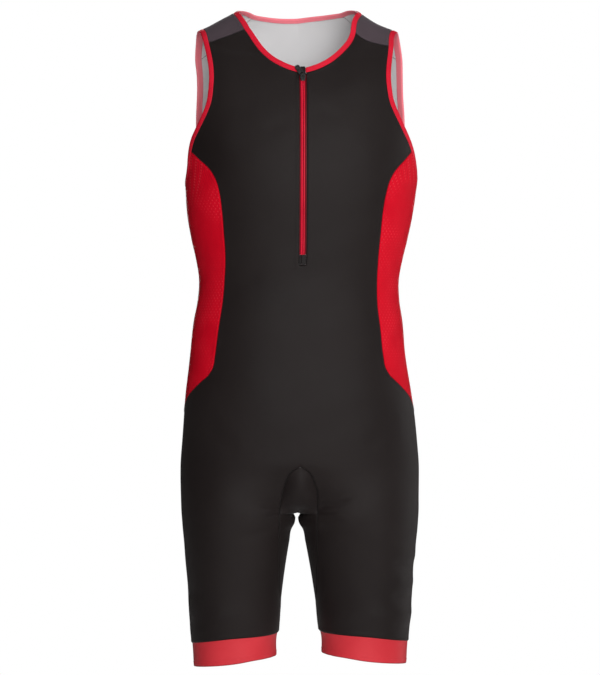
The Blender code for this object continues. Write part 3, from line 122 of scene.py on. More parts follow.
# Small creases: front -1 or back +1, signed x and height of each end, half width, rise in mm
creases = np.array([
    (-1, 0.0270, -0.7150, 0.0720, -0.7035, 0.0034, -1.7), (-1, 0.0255, -0.7205, 0.0500, -0.7212, 0.0026, -1.3),
    (-1, 0.0262, -0.7085, 0.0560, -0.6960, 0.0040, -0.8), (-1, 0.0285, -0.7290, 0.0640, -0.7345, 0.0045, -0.8),
    (-1, -0.0260, -0.7175, -0.0540, -0.7142, 0.0026, -1.0), (-1, -0.0255, -0.7235, -0.0430, -0.7262, 0.0024, -0.9),
    (-1, -0.0262, -0.7110, -0.0460, -0.7030, 0.0036, -0.5), (-1, -0.0385, -0.7750, -0.0345, -0.7772, 0.0028, -1.0),
    (-1, -0.1200, -0.0560, -0.0940, -0.0625, 0.0050, -1.1), (-1, -0.0940, -0.0625, -0.0660, -0.0662, 0.0046, -0.9),
    (-1, 0.0900, -0.0640, 0.1150, -0.0700, 0.0070, -0.5), (-1, 0.1280, -0.7960, 0.1655, -0.8000, 0.0080, -1.6),
    (-1, 0.1330, -0.8200, 0.1638, -0.8235, 0.0080, 0.9), (-1, 0.1290, -0.8420, 0.1618, -0.8465, 0.0080, -1.5),
    (-1, 0.1320, -0.8660, 0.1610, -0.8690, 0.0075, 0.8), (-1, 0.1270, -0.8890, 0.1590, -0.8925, 0.0075, -1.3),
    (-1, -0.1350, -0.8350, -0.1625, -0.8380, 0.0090, -0.7), (-1, -0.1330, -0.8800, -0.1600, -0.8830, 0.0080, -0.6),
    (-1, -0.1360, -0.5860, -0.0900, -0.6420, 0.0120, -0.7), (-1, 0.1380, -0.5800, 0.0960, -0.6300, 0.0120, -0.7),
    (-1, 0.1080, -0.4150, 0.0560, -0.3980, 0.0110, -0.6), (-1, -0.1060, -0.4050, -0.0600, -0.3860, 0.0110, -0.6),
    (-1, -0.0092, -0.0985, -0.0090, -0.1080, 0.0012, -0.9), (-1, 0.0086, -0.0985, 0.0086, -0.1080, 0.0012, -0.9),
    (-1, 0.0180, -0.1500, 0.0560, -0.1640, 0.0100, -0.4), (-1, -0.0200, -0.1650, -0.0520, -0.1800, 0.0100, -0.4),
    (1, 0.0280, -0.7280, 0.0980, -0.7200, 0.0050, -1.8), (1, 0.0300, -0.7400, 0.0840, -0.7440, 0.0050, -1.2),
    (1, -0.0280, -0.7270, -0.0920, -0.7160, 0.0050, -1.6), (1, -0.0300, -0.7410, -0.0900, -0.7480, 0.0050, -1.3),
    (1, 0.0100, -0.3960, 0.1150, -0.3840, 0.0080, -1.2), (1, -0.0150, -0.4020, -0.1130, -0.3900, 0.0080, -1.1),
    (1, 0.0200, -0.4300, 0.1200, -0.4360, 0.0090, -0.9), (1, -0.0300, -0.4360, -0.1180, -0.4420, 0.0090, -1.0),
    (1, 0.0600, -0.3600, 0.1250, -0.3420, 0.0100, -0.7), (1, -0.0550, -0.3650, -0.1200, -0.3480, 0.0100, -0.7),
    (1, 0.1020, -0.2050, 0.1420, -0.2380, 0.0070, -1.0), (1, -0.1000, -0.2100, -0.1400, -0.2420, 0.0070, -0.9),
    (1, 0.0500, -0.8900, 0.1100, -0.8960, 0.0080, -0.8), (1, -0.0450, -0.8850, -0.1080, -0.8920, 0.0080, -0.7)])

# Form of a small crease: straight share of its half length, taper of its ends, and the low ridge beside its trough
creaseForm = {"straight": 0.3, "taper": 0.03, "ridge": 0.55, "ridgeAt": 1.7, "ridgeWide": 1.3, "through": 0.025}

# Cut lines of the pieces, as x and height
cut = {
    "slotHalf": 0.0050, "slotTop": -0.0962, "slotEnd": -0.3690,
    "neckFront": [(0.0050, -0.0962), (0.0228, -0.0902), (0.0432, -0.0792), (0.0572, -0.0672),
                  (0.0695, -0.0518), (0.0797, -0.0345)],
    "neckBack": [(0.0, -0.0090), (0.0384, -0.0073), (0.0690, -0.0046)],
    "neckTopX": 0.0912,
    "armholeFront": [(0.1272, -0.0524), (0.1241, -0.0665), (0.1211, -0.0885), (0.1211, -0.1028),
                     (0.1234, -0.1200), (0.1268, -0.1371), (0.1337, -0.1542), (0.1433, -0.1743),
                     (0.1528, -0.1935), (0.1568, -0.2056)],
    "armholeBack": [(0.1452, -0.0650), (0.1461, -0.0900), (0.1468, -0.1130), (0.1488, -0.1490),
                    (0.1494, -0.1750), (0.1512, -0.2020)],
    "armholeTopX": 0.1395, "armholeBottom": -0.2540,
    "armholeUnder": [(-0.17, -0.2290), (-0.07, -0.2490), (0.0, -0.2540), (0.05, -0.2540)],  # wrap, height
    "sideFront": [(0.1568, -0.2056), (0.1455, -0.2190), (0.1325, -0.2335), (0.1240, -0.2480),
                  (0.1178, -0.2700), (0.1140, -0.2950), (0.1115, -0.3240), (0.1090, -0.3570),
                  (0.1086, -0.3860), (0.1103, -0.4220), (0.1155, -0.4600), (0.1198, -0.4970),
                  (0.1232, -0.5150), (0.1306, -0.5270)],
    "hip": [(0.1306, -0.5270), (0.1420, -0.5370), (0.1530, -0.5480), (0.1612, -0.5590)],
    "hipEnd": -0.5830,
    "gusset": [(0.0000, -0.6550), (0.0135, -0.6640), (0.0200, -0.6784), (0.0240, -0.6916),
               (0.0258, -0.7020), (0.0264, -0.7102), (0.0266, -0.7164), (0.0268, -0.7215),
               (0.0268, -0.7245), (0.0268, -0.7263), (0.0268, -0.7295), (0.0269, -0.7345),
               (0.0269, -0.7400), (0.0269, -0.7520), (0.0270, -0.7800), (0.0270, -0.8080),
               (0.0266, -0.8360)],
    "crotchRow": 8,            # the gusset point level with the crotch
    "band": np.array([(0.00, -0.9143, -0.9480), (0.25, -0.9085, -0.9440), (0.50, -0.9022, -0.9390),
                      (0.65, -0.9003, -0.9346), (0.80, -0.8990, -0.9325), (0.92, -0.8982, -0.9315),
                      (1.00, -0.8980, -0.9313)]),  # wrap, seam, hem
}

cloth = {
    "thick": 0.0011,           # wall of the body cloth
    "tuck": 0.00012,           # each piece runs this far past its seam, so that no light shows between them
    "edgeDip": 0.0006, "edgeReach": 0.0012,      # the cut edge turns in at a seam
    "allowanceRise": 0.00025, "allowanceAt": 0.0032, "allowanceWide": 0.0016,
    "ripple": 0.00022,         # slow unevenness of stretched knit
    "weld": 0.00006,
}


def smoothAt(known, values, at):
    # a smooth (Hermite) curve through the known values, with the slope of its neighbours at each
    order = np.argsort(known)
    known, values = np.asarray(known, float)[order], np.asarray(values, float)[order]
    slope = np.gradient(values, known)
    at = np.clip(at, known[0], known[-1])
    i = np.clip(np.searchsorted(known, at) - 1, 0, len(known) - 2)
    step = known[i + 1] - known[i]
    t = (at - known[i]) / step
    start = (2 * t ** 3 - 3 * t ** 2 + 1) * values[i] + (t ** 3 - 2 * t ** 2 + t) * step * slope[i]
    return start + (3 * t ** 2 - 2 * t ** 3) * values[i + 1] + (t ** 3 - t ** 2) * step * slope[i + 1]


def smoothStep(t):
    t = np.clip(t, 0.0, 1.0)
    return t * t * (3 - 2 * t)


def readTable(table, column, at):
    return smoothAt(table[:, 0], table[:, column], at)


def partingAt(z):
    return smoothStep((figure["partingTop"] - z) / (figure["partingTop"] - figure["crotch"]))


def outerX(z):
    torso, leg = readTable(figure["torso"], 1, z), readTable(figure["leg"], 2, z)
    return torso + (leg - torso) * partingAt(z)


def innerX(z):
    return np.where(z < figure["crotch"], readTable(figure["leg"], 1, z), 0.0)


def shoulderTop(x):
    return figure["shoulderZ"] - figure["shoulderSlope"] * (x - figure["shoulderX"])


def sectionDepth(z, back, table, front):
    return np.where(back, readTable(table, front + 1, z), readTable(table, front, z))


def torsoDepth(x, z, back):
    # a superellipse across, which leans in towards the shoulder line above the chest
    across = np.clip(x / outerX(z), 0.0, 1.0)
    foot, power = figure["shoulderFoot"], figure["shoulderPower"]
    rise = np.clip((z - foot) / (shoulderTop(x) - foot), 0.0, 1.0)
    lean = (1 - rise ** power) ** (1 / power)
    wide = (1 - across ** figure["torsoPower"]) ** (1 / figure["torsoPower"])
    return sectionDepth(z, back, figure["torso"], 2) * wide * lean


def legDepth(x, z, back):
    centre, radius = (outerX(z) + innerX(z)) / 2, (outerX(z) - innerX(z)) / 2
    across = np.clip(np.abs(x - centre) / radius, 0.0, 1.0)
    return sectionDepth(z, back, figure["leg"], 3) * (1 - across ** figure["legPower"]) ** (1 / figure["legPower"])


def foldRise(x, z, back):
    # each large fold is a soft mound, longer than wide
    rise = np.zeros_like(x)
    for foldX, foldZ, length, width, height, tilt, side in mainFolds:
        c, s = math.cos(math.radians(tilt)), math.sin(math.radians(tilt))
        along, across = (x - foldX) * c + (z - foldZ) * s, (z - foldZ) * c - (x - foldX) * s
        rise = rise + np.where(back == (side > 0), height * np.exp(-(along / length) ** 2 - (across / width) ** 2), 0.0)
    return rise


def shareAt(reach, z):
    # how far in from the outer side a wrap reaches at a height, as a share of the way
    torso, leg = 1 - np.cos(math.pi / 2 * reach), (1 - np.cos(math.pi * reach)) / 2
    return torso + (leg - torso) * partingAt(z)


def wrapAt(x, z, side):
    # the wrap of a place given by its x, found by halving
    x, z = np.asarray(x, float), np.asarray(z, float)
    wanted = (outerX(z) - x) / (outerX(z) - innerX(z))
    low, high = np.zeros_like(wanted), np.ones_like(wanted)
    for _ in range(30):
        middle = (low + high) / 2
        short = shareAt(middle, z) < wanted
        low, high = np.where(short, middle, low), np.where(short, high, middle)
    return side * (low + high) / 2


def armLean(x, y, z):
    # how far the neck and the armholes lean to the wearer's left
    outer = smoothStep((np.abs(x) - hang["armNear"]) / (hang["armFar"] - hang["armNear"]))
    back = np.clip(0.5 + y / hang["armMix"], 0.0, 1.0)
    sides = []
    for first in (1, 4):
        neck, front, rear = (readTable(hang["arms"], first + k, z) for k in range(3))
        sides.append(neck + (front + (rear - front) * back - neck) * outer)
    return sides[1] + (sides[0] - sides[1]) * smoothStep(0.5 + x / (2 * hang["neckMix"]))


def tiltLift(x, y, z):
    # how far the tilt of the shoulders and of the left hem lifts the cloth
    top = smoothStep((z - hang["tiltSeam"]) / (hang["tiltTop"] - hang["tiltSeam"]))
    seam = smoothStep((z - hang["tiltFoot"]) / (hang["tiltSeam"] - hang["tiltFoot"])) * (1 - top)
    seam = seam * np.clip(0.5 - y / hang["armMix"], 0.0, 1.0)
    line, yoke = (readTable(hang["shoulder"], k, x) for k in (1, 2))
    return line * top + yoke * seam + readTable(hang["hem"], 1, z) * smoothStep(x / hang["hemMix"])


def stance(points):
    # moves the even figure to the way that the suit hangs: it leans a little, and one shoulder is lower
    x, y, z = points[..., 0], points[..., 1], points[..., 2]
    across = np.clip(np.abs(x) / outerX(z), 0.0, 1.0)
    front = readTable(hang["front"], 1, z) * np.clip(-y / hang["frontReach"], 0.0, 1.0)
    outline = readTable(hang["outline"], 1, z) * across ** 4
    near = smoothStep((hang["thighFar"] - np.abs(x)) / (hang["thighFar"] - hang["thighNear"]))
    thigh = readTable(hang["thigh"], 1, z) * near * (1 - np.clip(np.abs(y) / hang["thighDeep"], 0.0, 1.0) ** 2)
    drop = hang["lowShoulder"] * np.exp(-((x - hang["lowX"]) / hang["lowWide"]) ** 2)
    drop = drop * smoothStep((z - hang["lowFoot"]) / hang["lowRise"])
    lean = front + outline + thigh + armLean(x, y, z)
    return np.stack([x + lean, y, z - drop + tiltLift(x, y, z)], axis=-1)


def figureAt(wrap, z, hand):
    return stance(evenFigure(wrap, z, hand))


def evenFigure(wrap, z, hand):
    # surface of the figure: x from the wrap, depth from the torso or leg section, mixed where the legs part
    reach, back = np.clip(np.abs(wrap), 0.0, 1.0), wrap > 0
    share = shareAt(reach, z)
    x = outerX(z) - (outerX(z) - innerX(z)) * share
    depth = torsoDepth(x, z, back)
    depth = depth + (legDepth(x, z, back) - depth) * partingAt(z)
    depth = depth + foldRise(hand * x, z, back) * np.clip(depth / 0.03, 0.0, 1.0)
    lip = np.where(z < figure["crotch"], readTable(figure["lip"], 1, z), 0.0)
    lip = lip * smoothStep((share - figure["lipStart"]) / (1 - figure["lipStart"]))
    return np.stack([hand * (x + lip), np.where(back, depth, -depth), z], axis=-1)


def unit(vectors):
    return vectors / np.maximum(np.linalg.norm(vectors, axis=-1, keepdims=True), 1e-12)


def outwardAt(wrap, z, hand):
    step = 0.002
    low, high = np.clip(wrap - step, -1.0, 1.0), np.clip(wrap + step, -1.0, 1.0)
    around = figureAt(high, z, hand) - figureAt(low, z, hand)
    down = figureAt(wrap, z - step, hand) - figureAt(wrap, z + step, hand)
    normal = np.cross(around, down) * -hand
    onCentre = (np.abs(wrap) > 0.999) & (z > figure["gussetTop"] - 0.001)
    normal[..., 0] = np.where(onCentre, 0.0, normal[..., 0])
    return unit(normal)


def onFigure(places, hand):
    # the figure's surface and its outward direction at places given as wrap and height
    return figureAt(places[..., 0], places[..., 1], hand), outwardAt(places[..., 0], places[..., 1], hand)


def archAt(x, angle, hand):
    return stance(evenArch(x, angle, hand))


def evenArch(x, angle, hand):
    # over the shoulder: 0 degrees is the front foot of the arch, 90 its top, 180 its back foot
    power, foot, back = 2 / figure["shoulderPower"], figure["shoulderFoot"], angle > 90.0
    z = foot + (shoulderTop(x) - foot) * np.sin(np.radians(angle)) ** power
    lean = np.abs(np.cos(np.radians(angle))) ** power
    across = np.clip(x / outerX(z), 0.0, 1.0)
    wide = (1 - across ** figure["torsoPower"]) ** (1 / figure["torsoPower"])
    depth = sectionDepth(z, back, figure["torso"], 2) * wide * lean
    depth = depth + foldRise(hand * x, z, back) * np.clip(depth / 0.03, 0.0, 1.0)
    return np.stack([hand * x, np.where(back, depth, -depth), z], axis=-1)


def archOutward(x, angle, hand):
    along = archAt(x, angle + 0.4, hand) - archAt(x, angle - 0.4, hand)
    across = archAt(x + 0.0006, angle, hand) - archAt(x - 0.0006, angle, hand)
    return unit(np.cross(across, along) * hand)


def archAngle(x, z, side):
    foot = figure["shoulderFoot"]
    angle = math.degrees(math.asin(((z - foot) / (shoulderTop(x) - foot)) ** (figure["shoulderPower"] / 2)))
    return angle if side < 0 else 180.0 - angle


def travelAlong(points, axis=0):
    # distance from the first point, along one way of a grid or a path
    step = np.linalg.norm(np.diff(points, axis=axis), axis=-1)
    return np.concatenate([np.zeros_like(np.take(step, [0], axis=axis)), np.cumsum(step, axis=axis)], axis=axis)


def readPath(at, travel, points):
    return np.stack([np.interp(at, travel, column) for column in points.T], axis=-1)


def curveAt(points, shares):
    # a smooth curve through points, read at shares of its length
    points = np.array(points, dtype=float)
    length = travelAlong(points)
    fine = np.linspace(0.0, length[-1], 60 * len(points))
    curve = np.stack([smoothAt(length, column, fine) for column in points.T], axis=-1)
    travel = travelAlong(curve)
    return readPath(shares * travel[-1], travel, curve)


def inWraps(places, side):
    return np.stack([wrapAt(places[:, 0], places[:, 1], side), places[:, 1]], axis=-1)


def wrapCurveAt(places, shares):
    scale = np.array([figure["wrapScale"], 1.0])
    return curveAt(np.array(places) * scale, shares) / scale


def straight(start, end, t):
    return np.array(start) * (1 - t[:, None]) + np.array(end) * t[:, None]


def bandHeight(wrap, column):
    return readTable(cut["band"], column, np.abs(wrap))


# Every seam and edge as a curve of a share from 0 to 1
def armFront(t):
    return inWraps(curveAt(cut["armholeFront"], t), -1)


def armUnder(t):
    corner = cut["armholeFront"][-1]
    return wrapCurveAt([(float(wrapAt(*corner, -1)), corner[1])] + cut["armholeUnder"], t)


def armBack(t):
    places = [(float(wrapAt(x, z, 1)), z) for x, z in cut["armholeBack"]]
    return wrapCurveAt(places + [(0.16, -0.2360), (figure["sideWrap"], cut["armholeBottom"])], t)


def sideFront(t):
    return inWraps(curveAt(cut["sideFront"], t), -1)


def sideBack(t):
    return straight((figure["sideWrap"], cut["armholeBottom"]), (figure["sideWrap"], cut["hipEnd"]), t)


def hipSeam(t):
    places = [(float(wrapAt(x, z, -1)), z) for x, z in cut["hip"]]
    return wrapCurveAt(places + [(-0.02, -0.5745), (figure["sideWrap"], cut["hipEnd"])], t)


def legSide(t):
    low = float(bandHeight(figure["sideWrap"], 1))
    return straight((figure["sideWrap"], cut["hipEnd"]), (figure["sideWrap"], low), t)


def gussetEdge(t, side):
    places = [(float(wrapAt(x, z, side)), z) for x, z in cut["gusset"]] + [(side * 1.0, figure["gussetTip"])]
    places, count = np.array(places), len(cut["gusset"])
    wrap = smoothAt(np.arange(count + 1), places[:, 0], t * count)
    return np.stack([np.clip(wrap, -1.0, 1.0), smoothAt(np.arange(count + 1), places[:, 1], t * count)], axis=-1)


def inseam(t, side):
    return straight((side, figure["gussetTip"]), (side, float(bandHeight(1.0, 1))), t)


def yokePlaces(t, across):
    # x and arch angle of a yoke: t runs over the shoulder, across from the neck to the armhole
    (fnx, fnz), (fax, faz) = cut["neckFront"][-1], cut["armholeFront"][0]
    (bnx, bnz), (bax, baz) = cut["neckBack"][-1], cut["armholeBack"][0]
    neck = (archAngle(fnx, fnz, -1), 90.0, archAngle(bnx, bnz, 1))
    arm = (archAngle(fax, faz, -1), 90.0, archAngle(bax, baz, 1))
    bulge = 2.2 * np.sin(math.pi * across) * (1 - t) ** 2
    neckAngle, armAngle = neck[0] + (neck[2] - neck[0]) * t, arm[0] + (arm[2] - arm[0]) * t
    neckX = smoothAt(neck, (fnx, cut["neckTopX"], bnx), neckAngle)
    armX = smoothAt(arm, (fax, cut["armholeTopX"], bax), armAngle)
    return neckX + (armX - neckX) * across, neckAngle + (armAngle - neckAngle) * across - bulge


def yokeSeam(across, side):
    x, angle = yokePlaces(np.zeros_like(across) if side < 0 else np.ones_like(across), across)
    z = evenArch(x, angle, 1)[:, 2]
    return np.stack([wrapAt(x, z, side), z], axis=-1)


def readEdge(stretches, at):
    # an edge made of stretches (first row, last row, curve), read at rows
    places = np.zeros((len(at), 2))
    for first, last, curve in stretches:
        here = (at >= first - 1e-9) & (at <= last + 1e-9)
        places[here] = curve((at[here] - first) / (last - first))
    return places


def patchGrid(inner, outer, top, bottom, down, across):
    # blends four edges into a grid of wrap and height; top and bottom fade out over the first rows
    down, across = down[:, None, None], across[None, :, None]
    grid = inner[:, None, :] * (1 - across) + outer[:, None, :] * across
    grid = grid + (top[None] - (top[0] * (1 - across) + top[-1] * across)) * (1 - down) ** 4
    grid = grid + (bottom[None] - (bottom[0] * (1 - across) + bottom[-1] * across)) * down ** 4
    grid[0], grid[-1], grid[:, 0], grid[:, -1] = top, bottom, inner, outer
    return grid


def steps(*stretches):
    # rows of a grid: each stretch is its first row, last row and cuts in each row
    runs = [np.linspace(a, b, int(round((b - a) * cuts)) + 1) for a, b, cuts in stretches]
    return np.unique(np.round(np.concatenate(runs), 6))


def creaseRise(points):
    # each crease is a trough beside a lower ridge, along a line between two places of the cloth
    form, rise = creaseForm, np.zeros(points.shape[:-1])
    for side, x1, z1, x2, z2, width, height in creases:
        places = inWraps(np.array([(abs(x1), z1), (abs(x2), z2)]), side)
        ends, outs = onFigure(places, 1.0 if x1 > 0 else -1.0)
        line, normal = ends[1] - ends[0], unit(outs.sum(axis=0))
        way, length = unit(line), np.linalg.norm(line)
        off = points - ends[0]
        along = (off @ way) / length
        across, through = off @ np.cross(normal, way), off @ normal
        taper = np.exp(-np.maximum(np.abs(along - 0.5) - form["straight"], 0.0) ** 2 / form["taper"])
        ridge = form["ridge"] * np.exp(-((across - form["ridgeAt"] * width) / (form["ridgeWide"] * width)) ** 2)
        trough = np.exp(-(across / width) ** 2) - ridge
        rise += height / 1000 * trough * taper * np.exp(-(through / form["through"]) ** 2)
    return rise


def rippleRise(points):
    # slow waves of uneven length, a fifth of a millimetre high
    x, y, z = points[..., 0], points[..., 1], points[..., 2]
    slow = np.sin(61 * z + 23 * x) * np.sin(47 * x + 31 * y)
    quick = np.sin(113 * z - 41 * x + 1.7) * np.sin(83 * y + 0.6)
    return cloth["ripple"] * (slow + 0.7 * quick)


def seamDistance(points, firstSeam):
    # distance along the grid to the nearest sewn edge; firstSeam marks the rows whose first edge is sewn
    across, down = travelAlong(points, 1), travelAlong(points, 0)
    nearest = np.minimum(np.where(firstSeam[:, None], across, 1.0), across[:, -1:] - across)
    return np.minimum(nearest, np.minimum(down, down[-1:] - down)), across


def dressed(points, normals, seam, fade=1.0):
    # the cut edge turns in at the seam, the allowance lifts a low ridge, and creases and ripples move the cloth
    dip = cloth["edgeDip"] * np.exp(-(seam / cloth["edgeReach"]) ** 2)
    beside = (seam - cloth["allowanceAt"]) / cloth["allowanceWide"]
    allowance = cloth["allowanceRise"] * np.exp(-beside ** 2)
    rise = allowance - dip + (creaseRise(points) + rippleRise(points)) * fade
    return points + normals * rise[..., None]


def tucked(points, first, last=True):
    # carries the edges of a grid a little past their seams, along the grid
    moved = points.copy()

    def beyond(edge, inside):
        return unit(edge - inside) * cloth["tuck"]
    moved[0] += beyond(points[0], points[1])
    moved[-1] += beyond(points[-1], points[-2])
    moved[:, 0] += beyond(points[:, 0], points[:, 1]) * first[:, None]
    if last:
        moved[:, -1] += beyond(points[:, -1], points[:, -2])
    return moved


def gridFaces(rows, columns, start=0, closed=False, turned=False):
    i, j = np.meshgrid(np.arange(rows - 1), np.arange(columns if closed else columns - 1), indexing="ij")
    k = (j + 1) % columns
    faces = np.stack([i * columns + j, i * columns + k, (i + 1) * columns + k, (i + 1) * columns + j], -1)
    faces = faces.reshape(-1, 4) + start
    return faces[:, ::-1] if turned else faces


def barFaces(count, sides):
    # the sides of bars, each of four rings of points
    return (gridFaces(4, sides, closed=True)[None] + (np.arange(count) * 4 * sides)[:, None, None]).reshape(-1, 4)


def addObject(name, data):
    item = bpy.data.objects.new(name, data)
    bpy.context.scene.collection.objects.link(item)
    return item


def newObject(name, points, faces, uv=None, seam=None, weld=0.0, slots=None, faceSlots=None):
    mesh = bpy.data.meshes.new(name)
    mesh.from_pydata(np.asarray(points).tolist(), [], faces if isinstance(faces, list) else faces.tolist())
    if uv is not None:
        corners = np.zeros(len(mesh.loops), dtype=np.int32)
        mesh.loops.foreach_get("vertex_index", corners)
        mesh.uv_layers.new(name="UVMap").data.foreach_set("uv", np.asarray(uv)[corners].astype(np.float32).ravel())
    if seam is not None:
        mesh.attributes.new("seam", "FLOAT", "POINT").data.foreach_set("value", np.asarray(seam, dtype=np.float32))
    for material in slots or ():
        mesh.materials.append(material)
    if faceSlots is not None:
        mesh.polygons.foreach_set("material_index", np.asarray(faceSlots, dtype=np.int32))
    if weld:
        welded = bmesh.new()
        welded.from_mesh(mesh)
        bmesh.ops.remove_doubles(welded, verts=welded.verts, dist=weld)
        welded.to_mesh(mesh)
        welded.free()
    mesh.shade_smooth()
    return addObject(name, mesh)


def facesOut(item, fill=False):
    # turns every face outwards, and closes open ends first where that is asked
    mesh = bmesh.new()
    mesh.from_mesh(item.data)
    if fill:
        bmesh.ops.holes_fill(mesh, edges=[edge for edge in mesh.edges if edge.is_boundary], sides=0)
    bmesh.ops.recalc_face_normals(mesh, faces=mesh.faces)
    mesh.to_mesh(item.data)
    mesh.free()


def clothPiece(name, sheets, finish, node, slot, thick=cloth["thick"], rim=0):
    # joins the sheets of one cut piece, gives it its wall, and lets it stand for its solid;
    # its cut edges have the finish of its face with rim 0, and the lining's with rim 1
    start, points, uv, seam, faces = 0, [], [], [], []
    for part in sheets:
        rows, columns = part["points"].shape[:2]
        across, down = np.diff(part["points"], axis=1)[:-1], np.diff(part["points"], axis=0)[:, :-1]
        turned = np.sum(np.cross(across, down) * part["normals"][:-1, :-1]) < 0
        faces.append(gridFaces(rows, columns, start, part.get("closed", False), turned))
        points.append(part["points"].reshape(-1, 3))
        uv.append(part["uv"].reshape(-1, 2))
        seam.append(part["seam"].ravel())
        start += rows * columns
    item = newObject(name, np.concatenate(points), np.concatenate(faces), np.concatenate(uv), np.concatenate(seam),
                     cloth["weld"], [finish, lining])
    wall = item.modifiers.new("wall", "SOLIDIFY")
    wall.thickness, wall.offset, wall.material_offset, wall.material_offset_rim = thick, -1.0, 1, rim
    return worn(item, slot, node)


def worn(item, slot, *nodes, body="suit"):
    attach(item, body)
    if nodes:
        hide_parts(*nodes)
    return item


# Finishes
def addNode(material, kind, settings=None, inputs=None):
    made = material.node_tree.nodes.new(kind)
    for key, value in (settings or {}).items():
        setattr(made, key, value)
    for key, value in (inputs or {}).items():
        if isinstance(value, bpy.types.NodeSocket):
            material.node_tree.links.new(value, made.inputs[key])
        else:
            made.inputs[key].default_value = value
    return made


def maths(material, operation, first, second=0.0):
    return addNode(material, "ShaderNodeMath", {"operation": operation}, {0: first, 1: second}).outputs[0]


def mixColour(material, share, first, second):
    # each colour is a socket, or three numbers
    first, second = (value if isinstance(value, bpy.types.NodeSocket) else (*value, 1.0) for value in (first, second))
    made = addNode(material, "ShaderNodeMix", {"data_type": "RGBA"}, {0: share, 6: first, 7: second})
    return made.outputs[2]


def mapRange(material, value, low, high, toLow=0.0, toHigh=1.0):
    made = addNode(material, "ShaderNodeMapRange", None, {0: value, 1: low, 2: high, 3: toLow, 4: toHigh})
    return made.outputs[0]


def wave(material, vector, direction, pitch):
    # a row of even ridges: the wave texture turns 20 times its scale in radians for each unit
    made = addNode(material, "ShaderNodeTexWave", {"wave_type": "BANDS", "bands_direction": direction},
                   {"Vector": vector, "Scale": 2 * math.pi / (20 * pitch), "Distortion": 0.0})
    return made.outputs["Fac"]


def noise(material, vector, scale, detail=2.0, stretch=None):
    if stretch is not None:
        vector = addNode(material, "ShaderNodeMapping", None, {"Vector": vector, "Scale": stretch}).outputs[0]
    made = addNode(material, "ShaderNodeTexNoise", None, {"Vector": vector, "Scale": scale, "Detail": detail})
    return made.outputs["Fac"]


def newFinish(name, spec):
    material = bpy.data.materials.new(name)
    material.use_nodes = True
    shader = material.node_tree.nodes["Principled BSDF"]
    for key in ("Sheen Weight", "Sheen Roughness", "Specular IOR Level", "Metallic", "Coat Weight", "Coat Roughness"):
        if key in spec:
            shader.inputs[key].default_value = spec[key]
    if "Sheen Tint" in spec:
        shader.inputs["Sheen Tint"].default_value = (*spec["Sheen Tint"], 1.0)
    return material, shader


def finished(material, shader, colour, rough, height, distance, strength):
    bump = addNode(material, "ShaderNodeBump", None, {"Height": height, "Distance": distance, "Strength": strength})
    for key, value in (("Base Color", colour), ("Roughness", rough), ("Normal", bump.outputs[0])):
        material.node_tree.links.new(value, shader.inputs[key])
    return material


def knitFinish(name, spec):
    # wales run down the piece and courses across it, over flecks of yarn; sewn edges get painted shade and are puckered
    material, shader = newFinish(name, spec)

    def added(first, second, factor):
        return maths(material, "ADD", first, maths(material, "MULTIPLY", second, factor))

    def dots(vector, pitch, near, far):
        made = addNode(material, "ShaderNodeTexVoronoi", {"feature": "F1"},
                       {"Vector": vector, "Scale": 1 / pitch, "Randomness": 0.0})
        return mapRange(material, made.outputs["Distance"], near, far, 1.0, 0.0)
    uv = addNode(material, "ShaderNodeUVMap", {"uv_map": "UVMap"}).outputs[0]
    place = addNode(material, "ShaderNodeTexCoord").outputs["Object"]
    seam = addNode(material, "ShaderNodeAttribute", {"attribute_name": "seam"}).outputs["Fac"]
    flecks = noise(material, uv, 1.0, 3.0, spec["fleckScale"])
    clouds = noise(material, place, spec["cloudScale"], 3.0)
    share = maths(material, "ADD", mapRange(material, flecks, 0.35, 0.65, 0.0, spec["fleckShare"]),
                  mapRange(material, clouds, 0.3, 0.7, 0.0, 1.0 - spec["fleckShare"]))
    colour = mixColour(material, share, spec["dark"], spec["light"])
    # painted shade: the colour darkens towards each sewn edge, for the shade between the pieces
    seamShade = mapRange(material, seam, spec.get("seamStart", 0.0003), spec.get("seamReach", 0.0016), 1.0, 0.0)
    height = maths(material, "MULTIPLY", wave(material, uv, "X", spec["walePitch"]), 0.6)
    height = added(height, wave(material, uv, "Y", spec["coursePitch"]), 0.4)
    height = added(height, flecks, spec.get("fleckRise", 0.5))
    if "meshPitch" in spec:
        # open mesh: a small dimple at each crossing of a slanted lattice
        turned = addNode(material, "ShaderNodeMapping", None, {"Vector": uv, "Rotation": (0.0, 0.0, math.pi / 4)})
        hole = dots(turned.outputs[0], spec["meshPitch"], 0.16, 0.34)
        height = maths(material, "SUBTRACT", height, maths(material, "MULTIPLY", hole, 2.4))
        colour = mixColour(material, maths(material, "MULTIPLY", hole, spec["holeDark"]), colour, spec["hole"])
        # painted highlights: wider eyelets are painted a bright red in patches, as glints of light on the mesh
        lit = dots(turned.outputs[0], spec["eyeletPitch"], 0.10, 0.26)
        lit = maths(material, "MULTIPLY", lit, mapRange(material, clouds, 0.42, 0.62, 0.0, spec["eyeletShare"]))
        colour = mixColour(material, lit, colour, spec["eyeletGlint"])
    pucker = noise(material, place, 420.0, 1.0)
    puckerShare = mapRange(material, seam, 0.0006, 0.0065, spec.get("pucker", 5.0), 0.0)
    height = added(height, pucker, puckerShare)
    # the painted seam shade is mixed over the colour
    seamShade = maths(material, "MULTIPLY", seamShade, spec.get("seamShare", 0.75))
    colour = mixColour(material, seamShade, colour, spec["seamShadeColour"])
    rough = mapRange(material, clouds, 0.3, 0.7, *spec["rough"])
    return finished(material, shader, colour, rough, height, spec["bump"], 0.7)


